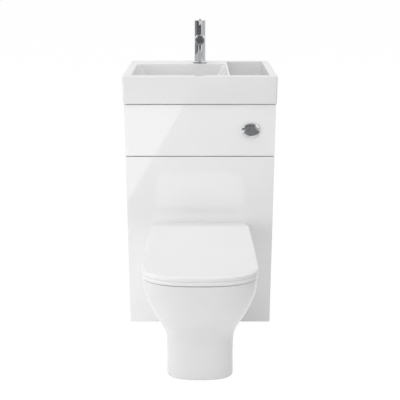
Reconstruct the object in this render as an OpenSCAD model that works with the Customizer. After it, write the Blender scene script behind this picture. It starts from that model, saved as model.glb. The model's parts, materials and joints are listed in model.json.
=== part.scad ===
// Toilet and basin combination unit: a gloss cabinet with a basin and a mono tap on
// top, a dual flush cistern inside, and a back-to-wall pan with seat and lid in front.
// Millimetres, +Z up, front towards -Y. The origin is on the floor, midway between
// the sides and midway between the wall plane and the front edge of the lid.

/* [Cabinet] */
// Width over both fronts
cab_w = 500; // [460:5:560]
// Height from the floor to the underside of the basin
cab_h = 800; // [770:5:840]
// Depth from the wall plane to the face of the fronts
cab_d = 350; // [335:5:400]
// Thickness of side panels, rails and shelf
board_t = 15; // [12:1:18]
// Thickness of the fascia and the lower panel
front_t = 18; // [15:1:20]
// Shadow gap above and below the fascia
front_gap = 3; // [2:0.5:5]
// Height of the fascia
fascia_h = 175; // [160:5:190]
// Height of the glides under the boards
glide_h = 3; // [2:0.5:6]
// Height of the top rails
rail_h = 35; // [25:1:45]
// Height of the middle rail behind the joint of the two fronts
mid_rail_h = 60; // [40:5:80]
// Height of the bottom back rail
bottom_rail_h = 60; // [40:5:80]
// Height of the top of the cistern shelf
shelf_z = 415; // [405:1:425]

/* [Basin] */
// Overhang of the basin past each side of the cabinet
basin_side_over = 2.5; // [0:0.5:15]
// Overhang of the basin past the fronts
basin_front_over = 5; // [0:0.5:15]
// Height of the basin's outer faces
basin_h = 92; // [80:1:110]
// Thickness of the basin's outer walls below the rim
basin_wall = 12; // [9:1:15]
// Width of the side rims
rim_side = 25; // [20:1:35]
// Width of the front rim
rim_front = 21; // [17:1:30]
// Depth of the tap ledge behind the bowl
ledge_d = 86; // [80:1:100]
// Width of the rim behind the side recess
recess_rim = 22; // [18:1:40]
// Depth of the bowl below the rim
bowl_depth = 105; // [95:1:115]
// Thickness of the bowl and recess shells
shell_t = 10; // [7:1:12]
// Width of the side recess
recess_w = 129; // [100:1:140]
// Depth of the side recess
recess_depth = 70; // [50:1:72]
// Thickness of the divider between bowl and recess
divider_t = 5; // [4:0.5:12]
// Draw-in of the bowl's sides from rim to floor
bowl_draft_x = 34; // [20:1:45]
// Draw-in of the bowl's front from rim to floor
bowl_draft_front = 52; // [44:1:70]
// Draw-in of the bowl's back from rim to floor
bowl_draft_back = 22; // [10:1:40]
// Radius of the waste hole in the bowl floor
waste_hole_r = 22.5; // [22:0.5:25]
// Radius of the tap hole in the ledge
tap_hole_r = 17.5; // [17:0.5:19]

/* [Tap] */
// Radius of the tap body and handle
tap_r = 21; // [20:0.5:25]
// Height of the tap body above the gasket
tap_body_h = 111; // [105:1:130]
// Height of the handle cap
tap_cap_h = 40; // [38:1:50]
// Radius of the spout
spout_r = 17; // [14:0.5:18]
// Reach of the spout from the tap's axis
spout_reach = 108; // [90:1:140]
// Height of the spout's axis above the gasket
spout_z = 91; // [80:1:92]
// Radius of the pin lever
lever_r = 4; // [3:0.5:4.5]
// Length of the lever from its ball
lever_len = 66; // [50:1:80]
// Rise of the lever at rest, above level
lever_rise = 31; // [26:1:34]
// Radius of the cartridge
cartridge_r = 17; // [15:0.5:18]
// Radius of the base ring
tap_base_r = 26.5; // [24:0.5:30]
// Height of the base ring
tap_base_h = 5; // [3:0.5:8]
// Radius of a supply tail
tail_r = 5; // [4.5:0.5:6]

/* [Cistern] */
// Space between the tank and the left side panel
tank_side_gap = 30; // [15:1:60]
// Depth of the cistern tank
tank_d = 152; // [135:1:155]
// Height of the cistern tank
tank_h = 225; // [215:1:230]
// Wall thickness of the tank
tank_t = 4; // [3:0.5:6]
// Space between the tank and the wall plane
tank_back_gap = 8; // [4:1:12]
// Radius of the flush pipe
flush_r = 22.25; // [20:0.25:25]
// Bend radius of the flush pipe
flush_bend = 60; // [50:1:65]
// Height of the pan's flush inlet
inlet_z = 322; // [315:1:326]
// Radius of the fill valve's threaded shank
shank_r = 10.4; // [10.2:0.1:10.6]
// Travel of the float cup
float_travel = 60; // [40:1:80]
// Lift of the flush valve
flush_lift = 20; // [12:1:24]

/* [Flush button] */
// Width of the button bezel
bezel_w = 62; // [56:1:70]
// Height of the button bezel
bezel_h = 51; // [47:1:58]
// Width of the bezel's opening
bezel_open_w = 44; // [40:1:48]
// Height of the bezel's opening
bezel_open_h = 36; // [34:1:40]
// How far the bezel stands off the fascia
bezel_proud = 9; // [7:0.5:12]
// Distance of the button from the right edge of the fascia
button_side = 82; // [65:1:110]
// Height of the button above the bottom edge of the fascia
button_up = 89; // [60:1:110]
// Travel of a button pad
button_travel = 3.5; // [2:0.5:4]
// Radius of the button's threaded sleeve
sleeve_r = 18; // [17:0.5:20]

/* [Pan] */
// Reach of the pan's rim in front of the cabinet
pan_reach = 490; // [470:1:520]
// Width of the pan at the rim
pan_w = 331; // [320:1:350]
// Height of the rim
pan_h = 382; // [375:1:400]
// Reach of the foot in front of the cabinet
foot_reach = 365; // [340:1:400]
// Width of the pedestal
foot_w = 204; // [190:1:230]
// Height at which the pedestal starts to open out
waist_z = 145; // [100:1:160]
// Wall thickness of the ceramic
pan_wall = 11; // [9:1:14]
// Height of the axis of the soil outlet
soil_z = 180; // [170:1:190]
// Outer radius of the soil spigot
spigot_r = 51; // [49:0.5:53]
// Outer radius of the soil pipe
soil_r = 55; // [54:0.5:57]
// Length of the bowl opening
mouth_l = 286; // [270:1:300]
// Width of the bowl opening
mouth_w = 234; // [220:1:250]
// Width of the rim in front of the bowl opening
mouth_front = 38; // [34:1:50]

/* [Seat and lid] */
// Reach of the lid in front of the cabinet
lid_reach = 492; // [480:1:520]
// Distance of the lid's back edge from the cabinet
lid_back = 97; // [90:1:110]
// Width of the lid at its widest
lid_w = 335; // [325:1:355]
// Thickness of the lid over its rim
lid_t = 12; // [10:0.5:16]
// Thickness of the lid's top sheet
lid_sheet = 4; // [3:0.5:4.5]
// Thickness of the seat ring
seat_t = 13; // [11:0.5:14]
// Gap between the pan and the seat ring
seat_gap = 3; // [2:0.5:4]
// Gap between the seat ring and the lid
lid_gap = 1.2; // [0.8:0.1:2]
// Width of the seat ring at the sides
seat_band = 62; // [52:1:70]
// Width of the seat ring at the front
seat_front = 60; // [50:1:70]
// Distance of the hinges from the centreline
hinge_x = 78; // [70:1:90]
// Radius of the hinge pins
pin_r = 4; // [3:0.5:4.5]
// Radius of the hinge knuckles
knuckle_r = 7; // [6:0.5:7.5]

/* [Hidden] */

$fn = 48;
// Clearances: a running fit, a loose slip fit, and the gap between a resting pair
run_fit = 0.05;
slip_fit = 0.3;
rest_gap = 0.3;
// How far a cutting tool runs past the face it cuts
over = 1;

// Main planes
wall_y = (cab_d + lid_reach) / 2;
face_y = wall_y - cab_d;
carcass_y = face_y + front_t;
inner_x = cab_w / 2 - board_t;
fascia_top = cab_h - front_gap;
fascia_z = fascia_top - fascia_h;
panel_top = fascia_z - front_gap;
rim_z = cab_h + basin_h;

// Carcass screws: radius, head and length, with their places on the side panels
screw_r = 2.5;
screw_head_r = 5;
screw_head_t = 3;
screw_len = 50;
shelf_front = 10;
shelf_screw_inset = 30;
mid_rail_z = panel_top + front_gap / 2 - mid_rail_h / 2;
front_rail_y = carcass_y + board_t / 2;
back_rail_y = wall_y - board_t / 2;
shelf_y0 = wall_y - tank_back_gap - tank_d - shelf_front;
tail_slot_y = wall_y - ledge_d / 2 - 25;
screw_places = [
    [front_rail_y, cab_h - rail_h / 2],
    [front_rail_y, mid_rail_z + mid_rail_h / 4],
    [front_rail_y, mid_rail_z + mid_rail_h * 3 / 4],
    [back_rail_y, cab_h - rail_h / 2],
    [back_rail_y, glide_h + bottom_rail_h / 4],
    [back_rail_y, glide_h + bottom_rail_h * 3 / 4],
    [shelf_y0 + shelf_screw_inset, shelf_z - board_t / 2],
    [tail_slot_y - shelf_screw_inset / 2, shelf_z - board_t / 2]
];
glide_r = 7;
glide_inset = 20;
clip_w = 22;
clip_d = 16;
clip_h = 24;
bracket_t = 2.5;
bracket_w = 40;
bracket_h = 44;
bracket_hole_r = 3.5;
bracket_drop = 30;
bracket_z = cab_h - rail_h - bracket_drop - bracket_h;
clip_inset = 90;
pipe_hole_gap = 12;

// Basin
basin_w = cab_w + 2 * basin_side_over;
basin_y0 = face_y - basin_front_over;
basin_corner = 5;
bowl_x0 = -basin_w / 2 + rim_side;
recess_x1 = basin_w / 2 - rim_side;
recess_x0 = recess_x1 - recess_w;
bowl_x1 = recess_x0 - divider_t;
bowl_y0 = basin_y0 + rim_front;
bowl_y1 = wall_y - ledge_d;
bowl_corner = 14;
bowl_floor_corner = 30;
recess_corner = 10;
bowl_floor_z = rim_z - bowl_depth;
waste_x = (bowl_x0 + bowl_x1) / 2;
waste_y = (bowl_y0 + bowl_draft_front + bowl_y1 - bowl_draft_back) / 2;

// Basin waste and bottle trap
waste_flange_r = 31.5;
waste_flange_t = 2;
waste_r = 20.8;
waste_bore_r = 17.5;
waste_len = 57;
plug_r = 29;
plug_t = 4;
plug_stem_r = 5;
plug_travel = 7;
guide_t = 10;
guide_wall = 3;
vane_t = 3;
plug_collar_t = 2;
gasket_t = 3;
waste_nut_r = 29;
waste_nut_t = 12;
waste_end_z = bowl_floor_z - waste_len;
trap_flange_r = 24;
trap_flange_t = 8;
trap_nut_r = 27.5;
trap_nut_lip = 3;
trap_nut_grip = 20;
trap_neck_r = 20.5;
trap_neck_h = 9;
trap_r = 30;
trap_t = 3;
trap_body_h = 57;
trap_cup_h = 55;
trap_dip_r = 16;
trap_flange_top = waste_end_z - rest_gap;
trap_top = trap_flange_top - trap_flange_t - trap_neck_h;
trap_bottom = trap_top - trap_body_h;
waste_pipe_r = 16;
waste_pipe_t = 1.8;
arm_drop = 22;
waste_pipe_z = trap_top - arm_drop;
socket_len = 24;
socket_stop = 2;
cup_grip_h = 14;

// Tap
tap_y = wall_y - ledge_d / 2;
tap_gasket_t = 1;
tap_z = rim_z + tap_gasket_t;
cap_gap = 0.4;
cap_t = 2.8;
cap_z = tap_z + tap_body_h + cap_gap;
lever_ball_r = 7;
lever_pin_r = 2;
lever_pin_bite = 1.5;
lever_up = 11.6;
lever_z = cap_z + lever_up;
notch_z = (tap_r - cap_t) * tan(lever_rise) - lever_r / cos(lever_rise) - over;
cartridge_top = lever_z - lever_ball_r - rest_gap;
cartridge_h = 48;
notch_w = 2 * lever_r + 1;
aerator_r = 10;
aerator_t = 8;
aerator_in = 18;
indicator_r = 2.4;
indicator_t = 1.2;
tap_passage_r = 7;
stud_r = 4;
stud_y = 10;
stud_len = 60;
stud_depth = 12;
clamp_r = 24;
clamp_t = 5;
clamp_slot_gap = 2;
stud_nut_r = 7.5;
stud_nut_t = 8;
ledge_t = basin_wall;

// Supply tails: the turns of their route, chosen to pass beside the cistern
tail_x = 7;
tail_y = -4;
tail_bend = 28;
tail_end_z = 560;
hot_row_z = 742;
cold_row_z = 766;
cold_drop_x = inner_x - 23;
hot_drop_x = cold_drop_x - 33;
tail_nut_r = 12;
tail_nut_h = 22;
tail_nut_cap = 6;
tail_union_depth = 13;
tail_neck_r = 4.8;
tail_neck_h = 12;
tail_clip_z = 650;
tail_clip_t = 4;
tail_clip_h = 14;

// Cistern
tank_y1 = wall_y - tank_back_gap;
tank_y0 = tank_y1 - tank_d;
tank_x1 = hot_drop_x - tail_nut_r - 22;
tank_x0 = -inner_x + tank_side_gap;
tank_top = shelf_z + tank_h;
tank_corner = 18;
valve_y = (tank_y0 + tank_y1) / 2;
fill_inset = 55;
fill_x = tank_x0 + fill_inset;
lid_lip = 10;
cistern_lid_t = 3;
cistern_lid_hole_r = 22;
cage_r = 38;
cage_t = 3;
cage_h = 74;
cage_slot_w = 18;
cage_slot_z0 = 8;
cage_slot_z1 = 40;
cage_post_r = 3;
cage_post_inset = 9.5;
valve_seat_t = 6;
tail_pipe_r = 27;
tail_pipe_len = 32;
valve_nut_r = 38;
valve_nut_t = 11;
valve_hole_r = 44;
actuator_r = 33;
actuator_h = 30;
actuator_drop = 8;
actuator_z = tank_top - actuator_drop - actuator_h;
overflow_r = 19;
overflow_t = 2;
valve_seal_r = 30;
valve_seal_t = 6;
nozzle_r = 4;
nozzle_h = 13;
fill_column_r = 12;
fill_head_h = 22;
fill_head_r = 23;
fill_head_drop = 10;
fill_bore_r = 6;
fill_shank_len = 44;
shank_neck_r = shank_r + 0.4;
fill_nut_r = 16;
fill_nut_t = 9;
float_r = 27;
float_h = 55;
fill_head_z = tank_top - fill_head_drop - fill_head_h;
float_z = fill_head_z - rest_gap - float_travel - float_h;
fill_hole_r = 20;
flush_pipe_t = 2.2;
flush_pipe_top = shelf_z - 4;
flush_entry = 30;
seal_len = 22;
seal_inset = 2;

// Air tubes: their route from the button to the flush valve
air_r = 2.6;
air_bore_r = 1.6;
air_bend = 24;
air_row_dy = 7;
air_end_dx = 8;

// Flush button
button_x = cab_w / 2 - button_side;
button_z = fascia_z + button_up;
bezel_flange_t = 2;
bezel_lip = 3;
pad_gap = 0.4;
pad_proud = 0.3;
pad_t = bezel_proud + pad_proud - bezel_flange_t - button_travel - pad_gap;
pad_split_r = 34;
pad_split_x = -6;
stem_r = 3;
full_stem_x = 8;
half_stem_x = -12;
sleeve_t = 2.4;
sleeve_len = 48;
stem_guide_y = 10;
stem_guide_t = 4;
bellows_r = 6.2;
bellows_len = 16;
bellows_x = 8;
bellows_y = face_y + sleeve_len - sleeve_t - bellows_len;
button_nozzle_len = 8;
button_nut_r = 27;
button_nut_t = 8;

// Pan
foot_corner = 48;
rim_corner = 84;
back_taper = 5;
foot_flare = 2;
flare_h = 90;
mouth_y0 = face_y - pan_reach + mouth_front;
sump_z = 72;
sump_reach = 236;
sump_y = face_y - sump_reach;
trap_len = 166;
trap_rise = 150;
shell_gap = 2;
trap_bore_r = 36;
trap_wall = 9;
deck_t = 26;
rim_band = 12;
opening_ease = 1.25;
boss_wall = 8;
boss_h = 20;
boss_below = 14;
pan_inlet_r = 27;
inlet_wall = 9;
soil_sleeve_len = 28;
soil_t = 4.5;
soil_collar = 6;
spigot_back = 12;
spigot_t = 6;
// Floor fixing of the pan: angle brackets inside the foot, with side screws
floor_fix_reach = 150;
floor_fix_y = face_y - floor_fix_reach;
floor_fix_z = 22;
angle_l = 36;
angle_w = 30;
angle_t = 6;
angle_h = 34;
floor_hole_r = 4.5;
floor_hole_in = 22;
cap_screw_r = 3;
cap_r = 7;
cap_out_t = 2.5;
cap_x = foot_w / 2 + foot_flare * pow(1 - floor_fix_z / flare_h, 2) + rest_gap;

// Seat and lid
seat_z = pan_h + seat_gap;
lid_z = seat_z + seat_t + lid_gap;
lid_top = lid_z + lid_t;
hinge_back = 9;
hinge_y = face_y - lid_back - hinge_back;
hinge_up = 14.5;
hinge_z = pan_h + hinge_up;
lid_taper = 6;
lid_rim = 6;
seat_rear = hinge_y - knuckle_r - 2.5;
seat_back_band = 58;
seat_edge = 2.5;
post_w = 20;
post_gap = 0.4;
knuckle_w = 15;
post_base_r = 20;
post_base_t = 2.5;
post_stud_r = 5;
post_stud_len = 20;
buffer_r = 6;
buffer_back = 70;
lid_notch = 2;

// ---------------------------------------------------------------- helpers

// Points of an arc, counter-clockwise
function arc(cx, cy, r, a0, a1, n) =
    [for (i = [0:n]) let (a = a0 + (a1 - a0) * i / n) [cx + r * cos(a), cy + r * sin(a)]];

// A rectangle with round corners
function rounded(x0, x1, y0, y1, r, n = 6) = concat(
    arc(x0 + r, y0 + r, r, 180, 270, n), arc(x1 - r, y0 + r, r, 270, 360, n),
    arc(x1 - r, y1 - r, r, 0, 90, n), arc(x0 + r, y1 - r, r, 90, 180, n));

function ellipse(a, b, n = 48) = [for (i = [0:n - 1]) [a * cos(360 * i / n), b * sin(360 * i / n)]];

function signed_pow(v, e) = sign(v) * pow(abs(v), e);

// A closed squarish oval with half sizes a and b
function oval(a, b, yc, p, n = 32) = [for (i = [0:n - 1])
    [a * signed_pow(cos(360 * i / n), 2 / p), yc + b * signed_pow(sin(360 * i / n), 2 / p)]];

// A D outline: straight back, sides that ease out to half width w at ys, round front
function d_shape(wb, w, yb, ys, yf, p, k = 4, m = 22) = concat(
    [for (i = [0:k - 1]) let (u = i / k) [-w + (w - wb) * pow(1 - u, 2), yb + (ys - yb) * u]],
    [for (j = [0:m]) let (a = 180 + 180 * j / m)
        [w * signed_pow(cos(a), 2 / p), ys + (ys - yf) * signed_pow(sin(a), 2 / p)]],
    [for (i = [k - 1:-1:0]) let (u = i / k) [w - (w - wb) * pow(1 - u, 2), yb + (ys - yb) * u]]);

function lift(points, z) = [for (p = points) [p[0], p[1], z]];

// A closed solid through rings of points, lowest first
module loft(rings) {
    n = len(rings[0]);
    m = len(rings);
    sides = [for (k = [0:m - 2]) for (i = [0:n - 1]) let (
            a = k * n + i, b = k * n + (i + 1) % n, c = b + n, d = a + n)
        each [[a, d, c], [a, c, b]]];
    bottom = [for (i = [0:n - 1]) i];
    top = [for (i = [n - 1:-1:0]) (m - 1) * n + i];
    polyhedron(points = [for (r = rings) each r], faces = concat([bottom], sides, [top]));
}

module block(a, b) {
    translate(a) cube(b - a);
}

module ring(r_out, r_in, h) {
    difference() {
        cylinder(r = r_out, h = h);
        translate([0, 0, -over]) cylinder(r = r_in, h = h + 2 * over);
    }
}

// Turns what is drawn along +Z to point along +Y
module to_back() {
    rotate([-90, 0, 0]) children();
}

// Turns what is drawn along +Z to point along -Y
module to_front() {
    rotate([90, 0, 0]) children();
}

module mirrored_x() {
    children();
    mirror([1, 0, 0]) children();
}

// A rod of radius r along a route whose legs lie along the axes, with bends of radius bend
module bent_rod(route, r, bend, trim = 0) {
    last = len(route) - 1;
    function way(i) = (route[i + 1] - route[i]) / norm(route[i + 1] - route[i]);
    for (i = [0:last - 1]) {
        d = way(i);
        e = [d[1], d[2], d[0]];
        f = cross(d, e);
        start = route[i] + d * (i == 0 ? -trim : bend);
        stop = route[i + 1] - d * (i == last - 1 ? -trim : bend);
        multmatrix([
            [e[0], f[0], d[0], start[0]], [e[1], f[1], d[1], start[1]],
            [e[2], f[2], d[2], start[2]], [0, 0, 0, 1]
        ]) cylinder(r = r, h = norm(stop - start));
    }
    for (i = [1:last - 1]) {
        u = way(i - 1);
        v = way(i);
        w = cross(u, v);
        c = route[i] - bend * u + bend * v;
        multmatrix([
            [-v[0], u[0], w[0], c[0]], [-v[1], u[1], w[1], c[1]],
            [-v[2], u[2], w[2], c[2]], [0, 0, 0, 1]
        ]) rotate_extrude(angle = 90) translate([bend, 0]) circle(r = r);
    }
}

// ---------------------------------------------------------------- cabinet

module screw_holes() {
    for (p = screw_places)
        translate([-cab_w / 2 - over, p[0], p[1]]) rotate([0, 90, 0]) {
            cylinder(r = screw_r + slip_fit / 2, h = cab_w + 2 * over);
            cylinder(r = screw_head_r + slip_fit / 2, h = over + screw_head_t);
            translate([0, 0, cab_w + over - screw_head_t])
                cylinder(r = screw_head_r + slip_fit / 2, h = over + screw_head_t);
        }
}

module side_board() {
    difference() {
        block([inner_x, carcass_y, glide_h], [cab_w / 2, wall_y, cab_h]);
        screw_holes();
    }
}

module side_panel_right() {
    color("white") side_board();
}

module side_panel_left() {
    color("white") mirror([1, 0, 0]) side_board();
}

// A rail between the side panels with a pilot hole in each end
module rail(y, z, h) {
    difference() {
        block([-inner_x, y - board_t / 2, z], [inner_x, y + board_t / 2, z + h]);
        rail_pilots();
    }
}

module rail_pilots() {
    mirrored_x()
        for (p = screw_places)
            translate([cab_w / 2 + over, p[0], p[1]]) rotate([0, -90, 0])
                cylinder(r = screw_r + slip_fit / 2, h = screw_len + 2 * over);
}

module top_front_rail() {
    color("whitesmoke") rail(front_rail_y, cab_h - rail_h, rail_h);
}

module middle_rail() {
    color("whitesmoke") rail(front_rail_y, mid_rail_z, mid_rail_h);
}

module top_back_rail() {
    color("whitesmoke") rail(back_rail_y, cab_h - rail_h, rail_h);
}

module bottom_back_rail() {
    color("whitesmoke") rail(back_rail_y, glide_h, bottom_rail_h);
}

module cistern_shelf() {
    color("whitesmoke") difference() {
        block([-inner_x, shelf_y0, shelf_z - board_t], [inner_x, wall_y, shelf_z]);
        rail_pilots();
        translate([0, valve_y, shelf_z - board_t - over])
            cylinder(r = valve_hole_r, h = board_t + 2 * over);
        translate([fill_x, valve_y, shelf_z - board_t - over])
            cylinder(r = fill_hole_r, h = board_t + 2 * over);
        block([hot_drop_x - tail_nut_r - 8, tail_slot_y, shelf_z - board_t - over],
            [inner_x + over, wall_y + over, shelf_z + over]);
    }
}

module carcass_screws() {
    color("silver") mirrored_x()
        for (p = screw_places)
            translate([cab_w / 2, p[0], p[1]]) rotate([0, -90, 0]) {
                cylinder(r = screw_r, h = screw_len);
                cylinder(r = screw_head_r, h = screw_head_t);
            }
}

module glides() {
    color("gray") mirrored_x()
        for (y = [carcass_y + glide_inset, wall_y - glide_inset])
            translate([cab_w / 2 - board_t / 2, y, 0]) cylinder(r = glide_r, h = glide_h);
}

module fascia() {
    color("white") difference() {
        block([-cab_w / 2, face_y, fascia_z], [cab_w / 2, carcass_y, fascia_top]);
        translate([button_x, face_y - over, button_z]) to_back()
            cylinder(r = sleeve_r + slip_fit, h = front_t + 2 * over);
    }
}

module lower_panel() {
    color("white") difference() {
        block([-cab_w / 2, face_y, glide_h], [cab_w / 2, carcass_y, panel_top]);
        translate([0, face_y - over, inlet_z]) to_back()
            cylinder(r = flush_r + pipe_hole_gap, h = front_t + 2 * over);
        translate([0, face_y - over, soil_z]) to_back()
            cylinder(r = soil_r + pipe_hole_gap, h = front_t + 2 * over);
    }
}

// Push clips in the corners between the side panels and a front
module clips(heights) {
    mirrored_x()
        for (z = heights)
            block([inner_x - clip_w, carcass_y, z - clip_h / 2],
                [inner_x, carcass_y + clip_d, z + clip_h / 2]);
}

module fascia_clips() {
    color("lightgray") clips([(mid_rail_z + mid_rail_h + cab_h - rail_h) / 2]);
}

module panel_clips() {
    color("lightgray") clips([glide_h + clip_inset, panel_top - mid_rail_h - clip_inset]);
}

module wall_brackets() {
    color("silver") mirrored_x() difference() {
        union() {
            corner = [inner_x, wall_y, bracket_z + bracket_h];
            block([inner_x - bracket_w, wall_y - bracket_t, bracket_z], corner);
            block([inner_x - bracket_t, wall_y - bracket_w, bracket_z], corner);
        }
        translate([inner_x - bracket_w / 2, wall_y - bracket_t - over, bracket_z + bracket_h / 2]) to_back()
            cylinder(r = bracket_hole_r, h = bracket_t + 2 * over);
    }
}

// ---------------------------------------------------------------- basin

// One level of the bowl; t runs from 0 at the rim to 1 at the floor
function bowl_ring(t, grow) = let (e = 1 - pow(1 - t, 0.8)) lift(rounded(
    bowl_x0 + bowl_draft_x * e - grow, bowl_x1 - bowl_draft_x * e + grow,
    bowl_y0 + bowl_draft_front * e - grow, bowl_y1 - bowl_draft_back * e + grow,
    bowl_corner + (bowl_floor_corner - bowl_corner) * e + grow), rim_z - bowl_depth * t);

module bowl_space() {
    levels = [1, 0.8, 0.6, 0.4, 0.2, 0];
    rings = [for (t = levels) bowl_ring(t, 0)];
    loft(concat(rings, [lift([for (p = bowl_ring(0, 0)) [p[0], p[1]]], rim_z + over)]));
}

module bowl_shell() {
    levels = [1, 0.8, 0.6, 0.4, 0.2, 0];
    floor_ring = [for (p = bowl_ring(1, shell_t)) [p[0], p[1]]];
    loft(concat([lift(floor_ring, bowl_floor_z - shell_t)],
        [for (t = levels) if (t < 1) bowl_ring(t, shell_t)]));
}

module basin() {
    recess_z = rim_z - recess_depth;
    recess_y1 = wall_y - recess_rim;
    half = basin_w / 2;
    color("white") difference() {
        union() {
            difference() {
                translate([0, 0, cab_h]) linear_extrude(basin_h)
                    polygon(rounded(-half, half, basin_y0, wall_y, basin_corner));
                block([-half + basin_wall, basin_y0 + basin_wall, cab_h - over],
                    [half - basin_wall, wall_y - basin_wall, rim_z - ledge_t]);
            }
            intersection() {
                bowl_shell();
                block([-half + over, basin_y0 + over, bowl_floor_z - shell_t],
                    [half - over, wall_y - over, rim_z - over]);
            }
            block([recess_x0 - divider_t, bowl_y0 - shell_t, recess_z - shell_t],
                [recess_x1 + shell_t, recess_y1 + shell_t, rim_z - over]);
        }
        bowl_space();
        translate([0, 0, recess_z]) linear_extrude(recess_depth + over)
            polygon(rounded(recess_x0, recess_x1, bowl_y0, recess_y1, recess_corner));
        translate([waste_x, waste_y, bowl_floor_z - shell_t - over])
            cylinder(r = waste_hole_r, h = shell_t + 2 * over);
        translate([0, tap_y, rim_z - ledge_t - over]) cylinder(r = tap_hole_r, h = ledge_t + 2 * over);
    }
}

module basin_waste() {
    color("silver") translate([waste_x, waste_y, 0]) {
        translate([0, 0, bowl_floor_z]) ring(waste_flange_r, waste_bore_r, waste_flange_t);
        translate([0, 0, waste_end_z]) ring(waste_r, waste_bore_r, waste_len);
        translate([0, 0, waste_end_z + over]) difference() {
            union() {
                cylinder(r = plug_stem_r + guide_wall, h = guide_t);
                for (a = [0, 90]) rotate([0, 0, a])
                    block([-waste_bore_r - over, -vane_t / 2, 0], [waste_bore_r + over, vane_t / 2, guide_t]);
            }
            translate([0, 0, -over]) cylinder(r = plug_stem_r + run_fit, h = guide_t + 2 * over);
        }
    }
}

// The plug rises by plug_travel, until the collar on its stem meets the guide
module waste_plug() {
    z = bowl_floor_z + waste_flange_t + rest_gap;
    collar_z = waste_end_z + over - rest_gap - plug_travel - plug_collar_t;
    color("silver") translate([waste_x, waste_y, 0]) {
        translate([0, 0, z]) cylinder(r = plug_r, h = plug_t);
        translate([0, 0, collar_z]) cylinder(r = plug_stem_r, h = z - collar_z + over);
        translate([0, 0, collar_z]) cylinder(r = plug_stem_r + guide_wall - over / 2, h = plug_collar_t);
    }
}

module waste_gasket() {
    color("dimgray") translate([waste_x, waste_y, bowl_floor_z - shell_t - gasket_t])
        ring(waste_nut_r - 1, waste_r + run_fit, gasket_t);
}

module waste_nut() {
    color("silver") translate([waste_x, waste_y, bowl_floor_z - shell_t - gasket_t - waste_nut_t])
        difference() {
            cylinder(r = waste_nut_r, h = waste_nut_t, $fn = 6);
            translate([0, 0, -over]) cylinder(r = waste_r + run_fit, h = waste_nut_t + 2 * over);
        }
}

module trap_inlet_nut() {
    z = trap_flange_top - trap_flange_t - trap_nut_lip - rest_gap;
    h = trap_nut_lip + rest_gap + trap_flange_t + trap_nut_grip;
    color("white") translate([waste_x, waste_y, z]) difference() {
        cylinder(r = trap_nut_r, h = h);
        translate([0, 0, -over]) cylinder(r = trap_neck_r + slip_fit, h = h + 2 * over);
        translate([0, 0, trap_nut_lip])
            cylinder(r = trap_flange_r + slip_fit, h = trap_flange_t + 2 * rest_gap);
        translate([0, 0, trap_nut_lip + trap_flange_t + rest_gap]) cylinder(r = waste_r + run_fit, h = h);
    }
}

module trap_body() {
    arm = waste_pipe_r + trap_t;
    color("white") translate([waste_x, waste_y, 0]) difference() {
        union() {
            translate([0, 0, trap_flange_top - trap_flange_t]) cylinder(r = trap_flange_r, h = trap_flange_t);
            translate([0, 0, trap_top - over]) cylinder(r = trap_neck_r, h = trap_neck_h + 2 * over);
            translate([0, 0, trap_bottom]) cylinder(r = trap_r, h = trap_body_h);
            translate([0, 0, waste_pipe_z]) to_back() cylinder(r = arm, h = trap_r + socket_len);
        }
        difference() {
            translate([0, 0, trap_bottom - over])
                cylinder(r = trap_r - trap_t, h = trap_body_h - trap_t + over);
            translate([0, 0, trap_bottom - 2 * over])
                cylinder(r = trap_dip_r + trap_t - over, h = trap_body_h + 2 * over);
        }
        translate([0, 0, trap_bottom - 2 * over])
            cylinder(r = trap_dip_r, h = trap_flange_top - trap_bottom + 4 * over);
        translate([0, trap_r - trap_t - over, waste_pipe_z]) to_back()
            cylinder(r = waste_pipe_r - socket_stop, h = socket_len + trap_r);
        translate([0, trap_r, waste_pipe_z]) to_back()
            cylinder(r = waste_pipe_r + run_fit, h = socket_len + over);
    }
}

module trap_cup() {
    color("whitesmoke") translate([waste_x, waste_y, trap_bottom - trap_cup_h]) difference() {
        union() {
            cylinder(r = trap_r, h = trap_cup_h);
            cylinder(r = trap_r + trap_t, h = cup_grip_h);
        }
        translate([0, 0, trap_t]) cylinder(r = trap_r - trap_t, h = trap_cup_h);
    }
}

// The pipe starts at the socket's mouth; a slimmer end runs into the socket
module waste_pipe() {
    mouth = waste_y + trap_r + socket_len + rest_gap;
    start = waste_y + trap_r + over;
    bore = waste_pipe_r - waste_pipe_t;
    color("whitesmoke") translate([waste_x, 0, waste_pipe_z]) {
        translate([0, mouth, 0]) to_back() ring(waste_pipe_r, bore, wall_y - mouth);
        translate([0, start, 0]) to_back() ring(waste_pipe_r - slip_fit, bore, mouth + over - start);
    }
}

// ---------------------------------------------------------------- tap

module tap_body() {
    aerator_y = spout_reach - aerator_in;
    color("silver") translate([0, tap_y, tap_z]) difference() {
        union() {
            cylinder(r = tap_r, h = tap_body_h);
            translate([0, 0, spout_z]) to_front() cylinder(r = spout_r, h = spout_reach);
        }
        translate([0, 0, cartridge_top - cartridge_h - tap_z])
            cylinder(r = cartridge_r + run_fit, h = tap_body_h);
        translate([0, -cartridge_r + 2 * over, spout_z]) to_front()
            cylinder(r = tap_passage_r, h = aerator_y - cartridge_r);
        translate([0, -aerator_y, spout_z - spout_r - over])
            cylinder(r = aerator_r + run_fit, h = spout_r + over);
        for (x = [-tail_x, tail_x])
            translate([x, tail_y, -over]) cylinder(r = tail_neck_r + slip_fit / 2, h = stud_depth + over);
        translate([0, stud_y, -over]) cylinder(r = stud_r + slip_fit / 2, h = stud_depth + over);
    }
}

module tap_base_ring() {
    color("silver") translate([0, tap_y, tap_z]) difference() {
        union() {
            cylinder(r = tap_base_r, h = tap_base_h / 2);
            translate([0, 0, tap_base_h / 2])
                cylinder(r1 = tap_base_r, r2 = tap_base_r - tap_base_h / 2, h = tap_base_h / 2);
        }
        translate([0, 0, -over]) cylinder(r = tap_r + slip_fit, h = tap_base_h + 2 * over);
    }
}

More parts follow.
